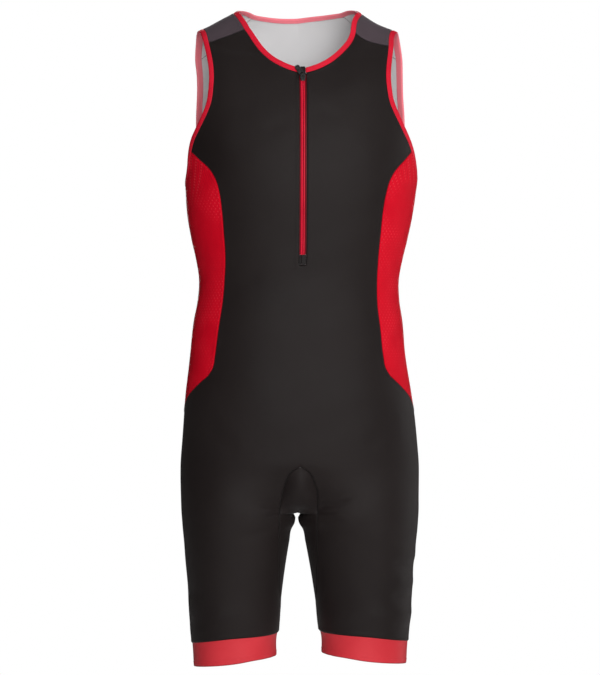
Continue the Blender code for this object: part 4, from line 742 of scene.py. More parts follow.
blackKnit = knitFinish("black_stretch_knit", {
    "dark": (0.0096, 0.0069, 0.0067), "light": (0.0157, 0.0118, 0.0114), "seamShadeColour": (0.004, 0.003, 0.003),
    "fleckScale": (2600.0, 1100.0, 1.0), "fleckShare": 0.55, "cloudScale": 9.0,
    "walePitch": 0.00062, "coursePitch": 0.00050, "bump": 0.00010, "rough": (0.46, 0.56),
    "Sheen Weight": 0.02, "Sheen Roughness": 0.45, "Sheen Tint": (1.0, 0.88, 0.85), "Specular IOR Level": 0.11})
heatherKnit = knitFinish("heather_knit", {
    "dark": (0.020, 0.0145, 0.018), "light": (0.104, 0.076, 0.089), "seamShadeColour": (0.010, 0.008, 0.009),
    "fleckScale": (2100.0, 620.0, 1.0), "fleckShare": 0.85, "cloudScale": 40.0, "fleckRise": 0.9,
    "walePitch": 0.00085, "coursePitch": 0.00070, "bump": 0.00014, "rough": (0.62, 0.76),
    "Sheen Weight": 0.05, "Sheen Roughness": 0.5, "Sheen Tint": (0.95, 0.90, 1.0), "Specular IOR Level": 0.12})
redMesh = knitFinish("red_mesh_knit", {
    "dark": (0.56, 0.0022, 0.013), "light": (0.76, 0.0050, 0.022), "seamShadeColour": (0.08, 0.001, 0.004),
    "fleckScale": (900.0, 900.0, 1.0), "fleckShare": 0.55, "cloudScale": 22.0,
    "walePitch": 0.00075, "coursePitch": 0.00075, "bump": 0.00016, "rough": (0.44, 0.56),
    "meshPitch": 0.0020, "holeDark": 0.45, "hole": (0.20, 0.001, 0.005),
    "eyeletPitch": 0.0056, "eyeletShare": 0.34, "eyeletGlint": (0.90, 0.10, 0.12),
    "Specular IOR Level": 0.03})
bandKnit = knitFinish("red_gripper_band", {
    "dark": (0.50, 0.023, 0.033), "light": (0.63, 0.044, 0.056), "seamShadeColour": (0.16, 0.006, 0.010),
    "fleckScale": (2600.0, 700.0, 1.0), "fleckShare": 0.4, "cloudScale": 14.0,
    "walePitch": 0.0011, "coursePitch": 0.00045, "bump": 0.00009, "rough": (0.34, 0.46),
    "Specular IOR Level": 0.10})
bindingYarn = {"fleckScale": (1500.0, 1500.0, 1.0), "fleckShare": 0.5, "cloudScale": 30.0, "walePitch": 0.0012,
               "coursePitch": 0.00075, "bump": 0.00013, "pucker": 0.0, "Specular IOR Level": 0.08}
bindingKnit = knitFinish("red_binding", {
    **bindingYarn, "rough": (0.42, 0.54),
    "dark": (0.52, 0.006, 0.022), "light": (0.68, 0.014, 0.038), "seamShadeColour": (0.30, 0.004, 0.012)})
# painted light: the inner faces of the bindings are a lighter, pinker copy of their red, where the fold catches the
# light
paintedLightBinding = knitFinish("pink_binding_back_painted_light", {
    **bindingYarn, "rough": (0.55, 0.70),
    "dark": (0.94, 0.20, 0.25), "light": (1.0, 0.27, 0.32), "seamShadeColour": (0.50, 0.06, 0.08)})
# painted shade: the tape's dark edges stand for the shadow of the cloth's edges over them
zipTape = knitFinish("red_zip_tape", {
    "dark": (0.50, 0.006, 0.024), "light": (0.66, 0.014, 0.040), "seamShadeColour": (0.10, 0.002, 0.006),
    "seamStart": 0.0010, "seamReach": 0.0022, "seamShare": 0.95,
    "fleckScale": (1800.0, 1800.0, 1.0), "fleckShare": 0.4, "cloudScale": 30.0,
    "walePitch": 0.0006, "coursePitch": 0.0009, "bump": 0.00010, "rough": (0.30, 0.40), "pucker": 0.0,
    "Specular IOR Level": 0.12})
lining = knitFinish("grey_knit_back", {
    "dark": (0.66, 0.66, 0.665), "light": (0.73, 0.73, 0.735), "seamShadeColour": (0.66, 0.66, 0.66), "pucker": 1.0,
    "fleckScale": (1700.0, 900.0, 1.0), "fleckShare": 0.5, "cloudScale": 16.0,
    "walePitch": 0.00062, "coursePitch": 0.00050, "bump": 0.00010, "rough": (0.70, 0.85),
    "Specular IOR Level": 0.08})


def threadFinish(name, spec):
    # two-ply thread: slanted fine ridges, with a painted highlight on the crown of the twist
    material, shader = newFinish(name, spec)
    place = addNode(material, "ShaderNodeTexCoord").outputs["Object"]
    ply = wave(material, place, "DIAGONAL", spec["plyPitch"])
    rough = mapRange(material, noise(material, place, 900.0), 0.3, 0.7, *spec["rough"])
    return finished(material, shader, mixColour(material, ply, spec["dark"], spec["light"]), rough, ply, 0.00006, 0.6)


threadYarn = {"plyPitch": 0.0007, "rough": (0.42, 0.58)}
blackThread = threadFinish("black_thread", {**threadYarn, "dark": (0.010, 0.008, 0.008), "light": (0.024, 0.020, 0.019),
                                            "Specular IOR Level": 0.2})
redThread = threadFinish("red_thread", {**threadYarn, "dark": (0.50, 0.006, 0.020), "light": (0.78, 0.022, 0.050),
                                        "Specular IOR Level": 0.45})


def enamelFinish(name, spec):
    # sprayed enamel over cast metal: fine orange peel, and rougher rubbed spots
    material, shader = newFinish(name, spec)
    place = addNode(material, "ShaderNodeTexCoord").outputs["Object"]
    rubbed = mapRange(material, noise(material, place, 260.0, 4.0), 0.42, 0.72)
    colour = mixColour(material, rubbed, spec["dark"], spec["light"])
    rough, peel = mapRange(material, rubbed, 0.0, 1.0, *spec["rough"]), noise(material, place, 1900.0, 1.0)
    return finished(material, shader, colour, rough, peel, 0.00004, 0.5)


blackEnamel = enamelFinish("black_enamel", {"dark": (0.012, 0.012, 0.012), "light": (0.030, 0.029, 0.029),
                                            "rough": (0.40, 0.56), "Specular IOR Level": 0.36})
blackPlastic = enamelFinish("black_tab_cloth", {"dark": (0.008, 0.006, 0.006), "light": (0.015, 0.012, 0.012),
                                                "rough": (0.55, 0.70), "Specular IOR Level": 0.14})


# Body panels
bodyPanel = {
    "rows": [(0, 33, 5), (33, 41, 4), (41, 46, 3), (46, 50, 7), (50, 52, 5)],
    "nearTop": [0.06, 0.18], "nearBottom": [51.80, 51.93], "nearSide": [0.004, 0.010, 0.020],
    "columns": 56, "neckShare": 0.6, "rowCount": 52,
    # rows where the slot ends, its edge reaches the centre, the gusset starts and the inseam starts
    "slotRow": 18, "closedRow": 22, "gussetRow": 33, "inseamRow": 50,
    # rows where the outer edge turns: foot of the armhole, foot of the side panel's front or back, end of the hip seam
    "armRow": 9, "panelRow": 27, "hipRow": 32, "backArmRow": 14, "easeRows": 3,
    "easeBelow": 0.006, "easeReach": 0.026, "easeSides": 0.12, "easeTurns": 120,
}


def columnShares(count, near, breaks=()):
    near = np.array(near)
    return np.unique(np.round(np.concatenate([np.linspace(0, 1, count + 1), near, 1 - near, breaks]), 6))


def besideSlot(t):
    z = cut["slotTop"] + (cut["slotEnd"] - cut["slotTop"]) * t
    return np.stack([wrapAt(np.full_like(z, cut["slotHalf"]), z, -1), z], axis=-1)


def belowSlot(t):
    # from the foot of the slot to the gusset, drawing in to the centre over its first rows
    rows = bodyPanel["gussetRow"] - bodyPanel["slotRow"]
    near = np.clip(t * rows / (bodyPanel["closedRow"] - bodyPanel["slotRow"]), 0.0, 1.0)
    z = cut["slotEnd"] + (figure["gussetTop"] - cut["slotEnd"]) * t
    return np.stack([wrapAt(cut["slotHalf"] * (1 - smoothStep(near)), z, -1), z], axis=-1)


def slotDistance(wrap, z):
    beside = np.maximum(np.abs(evenFigure(wrap, z, 1)[..., 0]) - cut["slotHalf"], 0.0)
    return np.hypot(beside, np.maximum(cut["slotEnd"] - z, 0.0))


def easedCrease(points, at, across, spec):
    # the trunk runs into each leg without a crease: depths near the crotch are averaged down the sheet,
    # but not at its sides
    low = at >= spec["gussetRow"] - spec["easeRows"]
    y, z = points[low, :, 1], points[low, :, 2]
    share = 0.5 * np.exp(-((z - figure["crotch"] + spec["easeBelow"]) / spec["easeReach"]) ** 2)
    share = (share * smoothStep(across / spec["easeSides"]) * smoothStep((1 - across) / spec["easeSides"]))[1:-1]
    between = (z[1:-1] - z[:-2]) / (z[2:] - z[:-2])
    for _ in range(spec["easeTurns"]):
        y[1:-1] += share * (y[:-2] + (y[2:] - y[:-2]) * between - y[1:-1])
    points[low, :, 1] = y
    return points


def clothSheet(base, normals, seam, u, v, fade=1.0):
    return {"points": dressed(base, normals, seam, fade), "normals": normals, "seam": seam,
            "uv": np.stack(np.broadcast_arrays(u, v), axis=-1)}


def bodySheets(spec, side):
    at = np.unique(np.concatenate([steps(*spec["rows"]), spec["nearTop"], spec["nearBottom"]]))
    across = columnShares(spec["columns"], spec["nearSide"], [spec["neckShare"]])
    slotRow, gussetRow, hipRow, lastRow = spec["slotRow"], spec["gussetRow"], spec["hipRow"], spec["rowCount"]
    lower = [(gussetRow, spec["inseamRow"], lambda t: gussetEdge(t, side)),
             (spec["inseamRow"], lastRow, lambda t: inseam(t, side))]
    if side < 0:
        inner = [(0, slotRow, besideSlot), (slotRow, gussetRow, belowSlot)] + lower
        outer = [(0, spec["armRow"], armFront), (spec["armRow"], spec["panelRow"], sideFront),
                 (spec["panelRow"], hipRow, hipSeam), (hipRow, lastRow, legSide)]
        joined = (at >= slotRow) & (at <= gussetRow)
    else:
        inner = [(0, gussetRow, lambda t: straight((1, cut["neckBack"][0][1]), (1, figure["gussetTop"]), t))] + lower
        outer = [(0, spec["backArmRow"], armBack), (spec["backArmRow"], hipRow, sideBack), (hipRow, lastRow, legSide)]
        joined = at <= gussetRow
    inner, outer = readEdge(inner, at), readEdge(outer, at)
    neckPart = across <= spec["neckShare"]
    neck = curveAt(cut["neckFront" if side < 0 else "neckBack"], across[neckPart] / spec["neckShare"])
    seamPart = yokeSeam((across[~neckPart] - spec["neckShare"]) / (1 - spec["neckShare"]), side)
    top = np.concatenate([inWraps(neck, side), seamPart])
    wrap = side + (figure["sideWrap"] - side) * across
    bottom = np.stack([wrap, bandHeight(wrap, 1)], axis=-1)
    grid = patchGrid(inner, outer, top, bottom, at / lastRow, across)
    sheets = []
    for hand in (1, -1):
        base, normals = onFigure(grid, hand)
        base = easedCrease(tucked(base, np.where(joined, 0.0, 1.0)), at, across, spec)
        seam, travel = seamDistance(base, ~joined)
        if side < 0:
            seam = np.minimum(seam, slotDistance(grid[..., 0], grid[..., 1]))
        start = evenFigure(grid[:, :1, 0], grid[:, :1, 1], 1)[..., 0]
        sheet = clothSheet(base, normals, seam, hand * (travel + start), grid[..., 1])
        sheets.append({**sheet, "at": at, "across": across})
    return sheets


def slotFoot(hand):
    # the small wedge of cloth under the slot, between the two halves of the front
    at = steps((bodyPanel["slotRow"], bodyPanel["closedRow"], 5))
    rows = bodyPanel["gussetRow"] - bodyPanel["slotRow"]
    edge = belowSlot((at - bodyPanel["slotRow"]) / rows)
    x = evenFigure(edge[:, 0], edge[:, 1], 1)[:, :1] * np.linspace(0, 1, 7)[None, :]
    z = np.broadcast_to(edge[:, 1:], x.shape)
    wrap = wrapAt(x, z, -1)
    wrap[:, -1] = edge[:, 0]
    base, normals = onFigure(np.stack([wrap, z], axis=-1), hand)
    return clothSheet(base, normals, slotDistance(wrap, z), hand * x, z)


# Side panels, yokes and gusset: cuts of each grid, and the rows or shares added close to its edges
sideGrid = {"rows": 18, "cuts": 5, "nearRows": [0.06, 0.18, 17.82, 17.94], "columns": 26, "near": [0.012, 0.030]}
yokeGrid = {"rows": 60, "nearRows": [0.006, 0.994], "columns": 30, "near": [0.015, 0.04]}
gussetGrid = {"rows": [(0, 8, 6), (8, 13, 6), (13, 17, 8)], "nearRows": [0.1, 7.92, 16.9],
              "columns": 20, "near": [0.02, 0.97], "fine": 400}


def sideSheet(hand):
    at = np.unique(np.concatenate([steps((0, sideGrid["rows"], sideGrid["cuts"])), sideGrid["nearRows"]]))
    across, down = columnShares(sideGrid["columns"], sideGrid["near"]), at / sideGrid["rows"]
    grid = patchGrid(sideFront(down), sideBack(down), armUnder(across), hipSeam(across), down, across)
    base, normals = onFigure(grid, hand)
    sewnRows = np.ones(len(at), dtype=bool)
    base = tucked(base, sewnRows)
    seam, travel = seamDistance(base, sewnRows)
    return clothSheet(base, normals, seam, hand * travel, grid[..., 1])


def yokeSheet(hand):
    t = np.unique(np.concatenate([np.linspace(0, 1, yokeGrid["rows"] + 1), yokeGrid["nearRows"]]))[:, None]
    x, angle = yokePlaces(t, columnShares(yokeGrid["columns"], yokeGrid["near"])[None, :])
    sewnRows = np.ones(len(t), dtype=bool)
    base, normals = tucked(archAt(x, angle, hand), sewnRows), archOutward(x, angle, hand)
    seam, travel = seamDistance(base, sewnRows)
    return clothSheet(base, normals, seam, hand * travel, -travelAlong(base))


def gussetSheets():
    # four quarters: down to the crotch each row is a smooth trough, which turns to the crotch's own level curve
    crotchRow, count = cut["crotchRow"], len(cut["gusset"])
    rowList = np.unique(np.concatenate([steps(*gussetGrid["rows"]), gussetGrid["nearRows"]]))
    share = np.unique(np.concatenate([np.linspace(0, 1, gussetGrid["columns"] + 1), gussetGrid["near"]]))[None, :]
    fine = np.linspace(0, 1, gussetGrid["fine"])[None, :]
    sheets = []
    for hand in (1, -1):
        for side in (-1, 1):
            edge = gussetEdge(rowList / count, side)
            wrap, z = edge[:, :1], edge[:, 1:]
            first = gussetEdge(np.array([crotchRow / count]), side)[:, :1]
            level = evenFigure(first + (side - first) * fine, np.full_like(fine, figure["crotch"]), 1)[0]
            level = level / level[0]
            level[-1] = 0.0
            fall = np.clip((figure["gussetTop"] - z) / (figure["gussetTop"] - figure["crotch"]), 0.0, 1.0)
            spread = smoothStep(fall)
            lateral = (1 - share) * (1 - spread) + np.interp(share, fine[0], level[:, 0]) * spread
            turn = smoothStep((fall - figure["levelStart"]) / (1 - figure["levelStart"]))
            depthShare = lateral ** 2 + (np.interp(lateral, level[::-1, 0], level[::-1, 1]) - lateral ** 2) * turn
            start = evenFigure(wrap, z, 1)
            reach = evenFigure(np.array([side * 1.0]), np.array([figure["gussetTop"]]), 1)[0, 1]
            middle = reach * (1 - fall ** figure["crotchPower"]) ** (1 / figure["crotchPower"])
            above = np.stack([start[..., 0] * lateral, middle + (start[..., 1] - middle) * depthShare,
                              np.broadcast_to(z, (len(z), share.shape[1]))], axis=-1)
            below = evenFigure(wrap + (side - wrap) * share, np.broadcast_to(z, above.shape[:2]), 1)
            base = np.where((rowList <= crotchRow)[:, None, None], above, below) * np.array([hand, 1.0, 1.0])
            base = tucked(stance(base), np.ones(len(base)), last=False)
            normals = np.broadcast_to(outwardAt(wrap, z, hand), base.shape)
            travel = travelAlong(base, 1)
            sheets.append(clothSheet(base, normals, travel, hand * travel, z, 1 - share ** 2))
    return sheets


legBand = {
    "columns": 52, "rows": 24, "thick": 0.0013,
    "inset": 0.0012, "under": 0.0014,      # set in under the leg, and started this far above its seam
    "waist": 0.0016, "hemRoll": 0.0005,    # drawn in halfway down on the inner side, rolled at the hem
    "line": 0.0002, "lineAt": 0.955, "lineWide": 0.012,    # a pressed line above the hem
    # wrap, half width and depth of each small pleat
    "pleats": [(-0.80, 0.028, 0.0008), (-0.88, 0.020, 0.0007), (0.20, 0.030, 0.0004), (0.42, 0.040, 0.0004)],
}


def bandSheet(hand):
    # a ring of wraps from the inseam round the front, the side and the back, set in under the leg cloth
    front = np.linspace(-1.0, figure["sideWrap"], legBand["columns"] + 1)
    back = np.linspace(figure["sideWrap"], 1.0, legBand["columns"] + 1)[1:-1]
    wrap = np.concatenate([front, back])[None, :]
    down = np.unique(np.concatenate([np.linspace(0, 1, legBand["rows"] + 1), [0.015, 0.94, 0.97, 0.985]]))[:, None]
    top = bandHeight(wrap, 1) + legBand["under"]
    z = top + (bandHeight(wrap, 2) - top) * down
    wraps = np.broadcast_to(wrap, z.shape)
    base, normals = onFigure(np.stack([wraps, z], axis=-1), hand)
    inner = smoothStep((np.abs(wraps) - 0.45) / 0.45)
    rise = -legBand["inset"] - legBand["waist"] * (0.1 + 0.9 * inner) * np.sin(math.pi * down ** 0.8)
    rise = rise - legBand["hemRoll"] * np.exp(-((1 - down) / 0.02) ** 2)
    rise = rise - legBand["line"] * np.exp(-((down - legBand["lineAt"]) / legBand["lineWide"]) ** 2)
    for at, width, depth in legBand["pleats"]:
        rise = rise - depth * np.exp(-((wraps - at) / width) ** 2) * down ** 3
    points = base + normals * (rise + rippleRise(base) * 0.5)[..., None]
    seam = np.minimum(down, 1 - down) * (bandHeight(wrap, 1) - bandHeight(wrap, 2))
    return {"points": points, "normals": normals, "seam": seam, "closed": True,
            "uv": np.stack([travelAlong(base, 1), z], axis=-1)}


# Bindings
binding = {"width": 0.0078, "over": 0.0005, "thick": 0.0030, "sunk": 0.0008, "corners": 24, "squareness": 0.72,
           "broad": 1.1, "broadFrom": 0.008, "broadTo": 0.034, "wobble": 0.05,
           "groove": 0.00042, "grooveAt": -0.18, "grooveWide": 0.0007, "spacing": 0.0030, "smoothing": 5,
           # a place inside each opening, and the cuts along each stretch of its edge
           "armHole": (0.17, 0.0, -0.14), "neckHole": (0.0, 0.0, 0.02),
           "armCuts": (60, 36, 70, 40), "neckCuts": (50, 30, 40)}


def evenly(points, normals, spacing, closed):
    # the path cut into even stretches, with its corners softened
    ring = np.concatenate([points, points[:1]]) if closed else points
    sides = np.concatenate([normals, normals[:1]]) if closed else normals
    travel = travelAlong(ring)
    at = np.linspace(0.0, travel[-1], int(travel[-1] / spacing) + 1)[:-1 if closed else None]
    path, out = readPath(at, travel, ring), readPath(at, travel, sides)
    for _ in range(binding["smoothing"]):
        for row in (path, out):
            middle = (np.roll(row, 1, axis=0) + 2 * row + np.roll(row, -1, axis=0)) / 4
            if closed:
                row[:] = middle
            else:
                row[1:-1] = middle[1:-1]
    return path, unit(out)


def sweptBinding(name, path, normals, closed, hole, node, broad=0.0):
    # a flat rounded section with a stitched groove, carried along the edge of the cloth, just beyond it;
    # broad widens it over the cloth behind the arm, where it is seen from inside
    path, normals = evenly(path, normals, binding["spacing"], closed)
    after, before = np.roll(path, -1, axis=0), np.roll(path, 1, axis=0)
    if not closed:
        after[-1], before[0] = path[-1], path[0]
    along = unit(after - before)
    beyond = unit(np.cross(along, normals))
    if np.sum(beyond * (hole - path)) < 0:
        beyond = -beyond
    up = np.cross(beyond, along)
    up = up * np.sign(np.sum(up * normals, axis=1, keepdims=True))
    if not closed:
        for end in (0, -1):
            beyond[end] -= along[end] * beyond[end][0] / along[end][0]
    angle = np.linspace(0, 2 * math.pi, binding["corners"], endpoint=False)

    def squared(turned):
        return np.sign(turned) * np.abs(turned) ** binding["squareness"]
    across, rise = squared(np.cos(angle)) * binding["width"] / 2, squared(np.sin(angle)) * binding["thick"] / 2
    grooveAt = binding["grooveAt"] * binding["width"]
    rise = rise - np.sign(rise) * binding["groove"] * np.exp(-((across - grooveAt) / binding["grooveWide"]) ** 2)
    middle = binding["width"] / 2 - binding["over"]
    centre, step = path + beyond * middle - up * binding["sunk"], np.arange(len(path))
    wobble = 1 + binding["wobble"] * np.sin(step * 0.9) * np.sin(step * 0.23)
    wider = 1 + broad * smoothStep((path[:, 1:2] - binding["broadFrom"]) / (binding["broadTo"] - binding["broadFrom"]))
    widths = np.where(across < 0, across * wider, across)
    points = (centre[:, None] + beyond[:, None] * widths[..., None]
              + up[:, None] * (rise[None, :] * wobble[:, None])[..., None])
    ringUv = travelAlong(np.stack([across, rise], axis=-1))
    uv = np.stack(np.broadcast_arrays(ringUv[None, :], (step * binding["spacing"])[:, None]), axis=-1)
    grid = np.concatenate([points, points[:1]]) if closed else points
    uv = np.concatenate([uv, uv[-1:] + np.array([0.0, binding["spacing"]])]) if closed else uv
    faces = gridFaces(len(grid), len(angle), 0, True)
    # faces on the inner side take the pinker copy, painted light
    inner = np.sin(angle + math.pi / binding["corners"]) < -0.05
    slots = np.tile(inner.astype(int), len(grid) - 1)
    item = newObject(name, grid.reshape(-1, 3), faces, uv.reshape(-1, 2), np.full(len(grid) * len(angle), 0.01),
                     cloth["weld"], [bindingKnit, paintedLightBinding], slots)
    facesOut(item, fill=not closed)
    worn(item, "binding_cloth", node)
    inward = path + beyond * (middle + grooveAt * wider)
    return item, (inward + up * (binding["thick"] / 2 - binding["sunk"] - binding["groove"]), up)


def placesAlong(curve, count, hand):
    return onFigure(curve(np.linspace(0, 1, count + 1)), hand)


def yokeEdge(across, count, hand):
    x, angle = yokePlaces(np.linspace(0, 1, count + 1), np.full(count + 1, across))
    return archAt(x, angle, hand), archOutward(x, angle, hand)


def armholePath(hand):
    front, under, rear, top = binding["armCuts"]
    runs = [placesAlong(armFront, front, hand), placesAlong(armUnder, under, hand)]
    back, over = placesAlong(armBack, rear, hand), yokeEdge(1.0, top, hand)
    runs += [(back[0][::-1], back[1][::-1]), (over[0][::-1], over[1][::-1])]
    return np.concatenate([run[0][:-1] for run in runs]), np.concatenate([run[1][:-1] for run in runs])


def neckPath():
    # the front edge ends beside the zip guard, just above the slot
    guardEdge, start, paths = 0.0042, cut["slotTop"] + 0.0003, []
    for hand in (1, -1):
        def frontEdge(t):
            places = inWraps(curveAt(cut["neckFront"], t), -1)
            places[0] = wrapAt(guardEdge, start, -1), start
            return places
        front = placesAlong(frontEdge, binding["neckCuts"][0], hand)
        over = yokeEdge(0.0, binding["neckCuts"][1], hand)
        back = placesAlong(lambda t: inWraps(curveAt(cut["neckBack"], 1 - t), 1), binding["neckCuts"][2], hand)
        run = [np.concatenate([front[i][:-1], over[i][:-1], back[i]]) for i in (0, 1)]
        paths.append(run if hand > 0 else [run[0][:-1][::-1], run[1][:-1][::-1]])
    return np.concatenate([paths[0][0], paths[1][0]]), np.concatenate([paths[0][1], paths[1][1]])


# Sewing
stitch = {
    "sides": 5, "thick": 0.00042, "lift": 0.00012, "inset": 0.0021, "gussetInset": 0.0016,
    "slotInsets": (0.0012, 0.0034), "bandInset": 0.0055, "bandTopRows": 12,
    "tackHalf": 0.0044, "tackZ": -0.3728, "placketX": 0.0122, "placketTop": -0.3560, "placketFoot": -0.3735,
    # pitch, length and what else differs in each kind of row
    "seam": {"pitch": 0.0031, "length": 0.0023},
    "slot": {"pitch": 0.0027, "length": 0.0021},
    "down": {"pitch": 0.0035, "length": 0.0034, "lift": 0.0003, "turn": math.radians(64)},
    "back": {"pitch": 0.0035, "length": 0.0034, "lift": 0.0003, "turn": math.radians(-64), "shift": 0.0017},
    "tack": {"pitch": 0.00062, "length": 0.0022, "thick": 0.0005, "turn": math.radians(90)},
    "placket": {"pitch": 0.0024, "length": 0.0018},
    "binding": {"pitch": 0.0026, "length": 0.0019, "thick": 0.00038},
    "band": {"pitch": 0.0030, "length": 0.0021},
}


def crossRings(side, up, angle):
    # rings of radius 1 across a row of bars
    return (side[:, None, None] * np.cos(angle)[None, None, :, None]
            + up[:, None, None] * np.sin(angle)[None, None, :, None])


def stitchRow(path, normals, pitch, length, thick=stitch["thick"], turn=0.0, shift=0.0, lift=stitch["lift"]):
    # one short thread for each step of the path: rings of points along an arched line, tapered into the cloth
    travel = travelAlong(path)
    at = np.arange(pitch / 2 + shift, travel[-1] - pitch / 2, pitch)
    if len(at) == 0:
        return np.zeros((0, 3)), np.zeros((0, 4), dtype=int)
    centre, ahead, behind = (readPath(at + step, travel, path) for step in (0.0, 0.001, -0.001))
    up = unit(readPath(at, travel, normals))
    way = unit(ahead - behind)
    side = unit(np.cross(up, way))
    way, side = way * math.cos(turn) + side * math.sin(turn), side * math.cos(turn) - way * math.sin(turn)
    places = np.array([-0.5, -0.34, 0.34, 0.5]) * length
    arch = np.array([-0.9, 0.35, 0.35, -0.9]) * thick + lift
    radius = np.array([0.25, 1.0, 1.0, 0.25]) * thick / 2
    angle = np.arange(stitch["sides"]) * 2 * math.pi / stitch["sides"]
    ring = crossRings(side, up, angle) * radius[None, :, None, None]
    points = (centre[:, None, None] + way[:, None, None] * places[None, :, None, None]
              + up[:, None, None] * arch[None, :, None, None] + ring)
    return points.reshape(-1, 3), barFaces(len(at), stitch["sides"])


def edgeRow(part, edge, inside, inset, kind):
    # a row of stitches on the cloth, this far in from its edge
    points, start = part["points"], part["points"][edge]
    return stitchRow(start + unit(points[inside] - start) * inset, part["normals"][edge], **kind)


def ringRow(line, up, kind):
    return stitchRow(np.concatenate([line, line[:1]]), np.concatenate([up, up[:1]]), **kind)


def sewn(name, rows, thread, slot):
    # joins many rows of stitches into one piece and closes their ends
    points, faces, start = [], [], 0
    for rowPoints, rowFaces in rows:
        points.append(rowPoints)
        faces.append(rowFaces + start)
        start += len(rowPoints)
    points, faces = np.concatenate(points), np.concatenate(faces)
    sides = stitch["sides"]
    ring = np.arange(len(points) // sides) * sides
    ends = np.concatenate([ring[0::4], ring[3::4]])
    caps = ends[:, None] + np.arange(sides)[None, :]
    caps[:len(ring[0::4])] = caps[:len(ring[0::4]), ::-1]
    item = newObject(name, points, faces.tolist() + caps.tolist(), slots=[thread])
    facesOut(item)
    return worn(item, slot)


# Zip
zipStrip = {"top": -0.0985, "bottom": -0.3550, "inner": 0.00020, "outer": 0.0049, "thick": 0.0016,
            "ridgeAt": 0.0017, "ridgeWide": 0.0011, "ridge": 0.0008, "lip": 0.0004, "lipDeep": 0.00025,
            "sunk": 0.0005, "fallFrom": 0.0026, "fallTo": 0.0042, "fall": 0.0006, "shade": 0.0010, "stations": 130,
            "toothPitch": 0.0016, "toothRadius": 0.00040, "toothReach": 0.0014, "toothDeep": 0.00062, "toothSides": 8}


def frontPlace(x, z, rise):
    # places on the centre front, a rise out from the cloth
    z = np.asarray(z, dtype=float)
    wrap = np.full_like(z, -1.0)
    middle, out = figureAt(wrap, z, 1), outwardAt(wrap, z, 1)
    place = middle + out * np.asarray(rise)[..., None]
    place[..., 0] = middle[..., 0] + x
    return place


def zipTapeSection(x):
    # low at the slot's edge, a rounded ridge, then a lip down to the teeth
    ridge = zipStrip["ridge"] * np.exp(-((x - zipStrip["ridgeAt"]) / zipStrip["ridgeWide"]) ** 2)
    lip = zipStrip["lipDeep"] * np.exp(-((x - zipStrip["inner"]) / zipStrip["lip"]) ** 2)
    fall = zipStrip["fall"] * smoothStep((x - zipStrip["fallFrom"]) / (zipStrip["fallTo"] - zipStrip["fallFrom"]))
    return ridge - lip - fall - zipStrip["sunk"]


def addZipTape(name, hand, node):
    xs = np.linspace(zipStrip["inner"], zipStrip["outer"], 20)
    section = np.concatenate([np.stack([xs, zipTapeSection(xs)], -1),
                              np.stack([xs[::-1], np.full(len(xs), -zipStrip["thick"])], -1)])
    z = np.linspace(zipStrip["top"], zipStrip["bottom"], zipStrip["stations"] + 1)
    zs = np.broadcast_to(z[:, None], (len(z), len(section)))
    points = frontPlace(hand * section[None, :, 0] + 0 * zs, zs, section[None, :, 1] + 0 * zs)
    uv = np.stack([section[None, :, 0] + 0 * zs, zs], axis=-1)
    faces = gridFaces(len(z), len(section), 0, True)
    # painted shade: the tape darkens towards its edges for the shadow of the slot's edges, a little further in on the
    # wearer's left, under the placket
    shaded = zipStrip["shade"] if hand > 0 else 0.0
    edge = np.maximum(zipStrip["outer"] - shaded - section[None, :, 0] + 0 * zs, 0.0).ravel()
    item = newObject(name, points.reshape(-1, 3), faces, uv.reshape(-1, 2), edge, 0.0, [zipTape])
    facesOut(item, fill=True)
    item.data.set_sharp_from_angle(angle=math.radians(50))
    return worn(item, "zip_tape", node)


def addZipTeeth(name, hand):
    # a coil seen end on: rounded bars that reach past the middle, a half pitch apart on the two sides
    shift = 0.0 if hand > 0 else zipStrip["toothPitch"] / 2
    z = np.arange(zipStrip["top"] - 0.001 - shift, zipStrip["bottom"] + 0.001, -zipStrip["toothPitch"])
    place = frontPlace(np.zeros_like(z), z, np.full_like(z, -zipStrip["toothDeep"]))
    out = outwardAt(np.full_like(z, -1.0), z, 1)
    down = unit(np.cross(np.array([1.0, 0.0, 0.0]), out))
    reach = np.array([-0.0005, -0.0002, 0.0012, zipStrip["toothReach"]]) * hand
    radius = np.array([0.35, 1.0, 1.0, 0.7]) * zipStrip["toothRadius"]
    k = np.arange(zipStrip["toothSides"])
    points = (place[:, None, None] + np.array([1.0, 0.0, 0.0]) * reach[None, :, None, None]
              + crossRings(down, out, k * 2 * math.pi / len(k)) * radius[None, :, None, None])
    start = (np.arange(len(z)) * 4 * len(k))[:, None]
    caps = np.concatenate([start + k[::-1], start + 3 * len(k) + k])
    faces = barFaces(len(z), len(k)).tolist() + caps.tolist()
    item = newObject(name, points.reshape(-1, 3), faces, slots=[zipTape])
    facesOut(item)
    return worn(item, "zip_tape")


zipTab = {"thick": 0.0014, "rows": 21,
          "endHalf": 0.0047, "endRise": 0.0003, "fold": 0.0009, "foldAt": -0.0019, "foldWide": 0.0004, "foldFoot": 0.86,
          "guardTop": -0.0874, "guardFoot": -0.0989, "guardHalf": 0.0041, "topNarrow": 0.0012, "footWide": 0.0008,
          "guardRise": 0.0011}


def endHalf(down):
    return np.full_like(down, zipTab["endHalf"])


def endRise(x, down, across):
    # a low pad with a fold down one side
    fold = zipTab["fold"] * np.exp(-((x - zipTab["foldAt"]) / zipTab["foldWide"]) ** 2) * (down < zipTab["foldFoot"])
    return zipTab["endRise"] * (1 - across ** 6) * (1 - (2 * down - 1) ** 10) - fold


def guardHalf(down):
    # narrower at the rounded top, wider at the foot
    narrow, wide = np.exp(-(down / 0.10) ** 2), smoothStep((down - 0.86) / 0.06)
    return zipTab["guardHalf"] - zipTab["topNarrow"] * narrow + zipTab["footWide"] * wide


def guardRise(x, down, across):
    return zipTab["guardRise"] * (1 - across ** 8) ** 0.5 * (1 - (1 - down) ** 12) + 0 * x


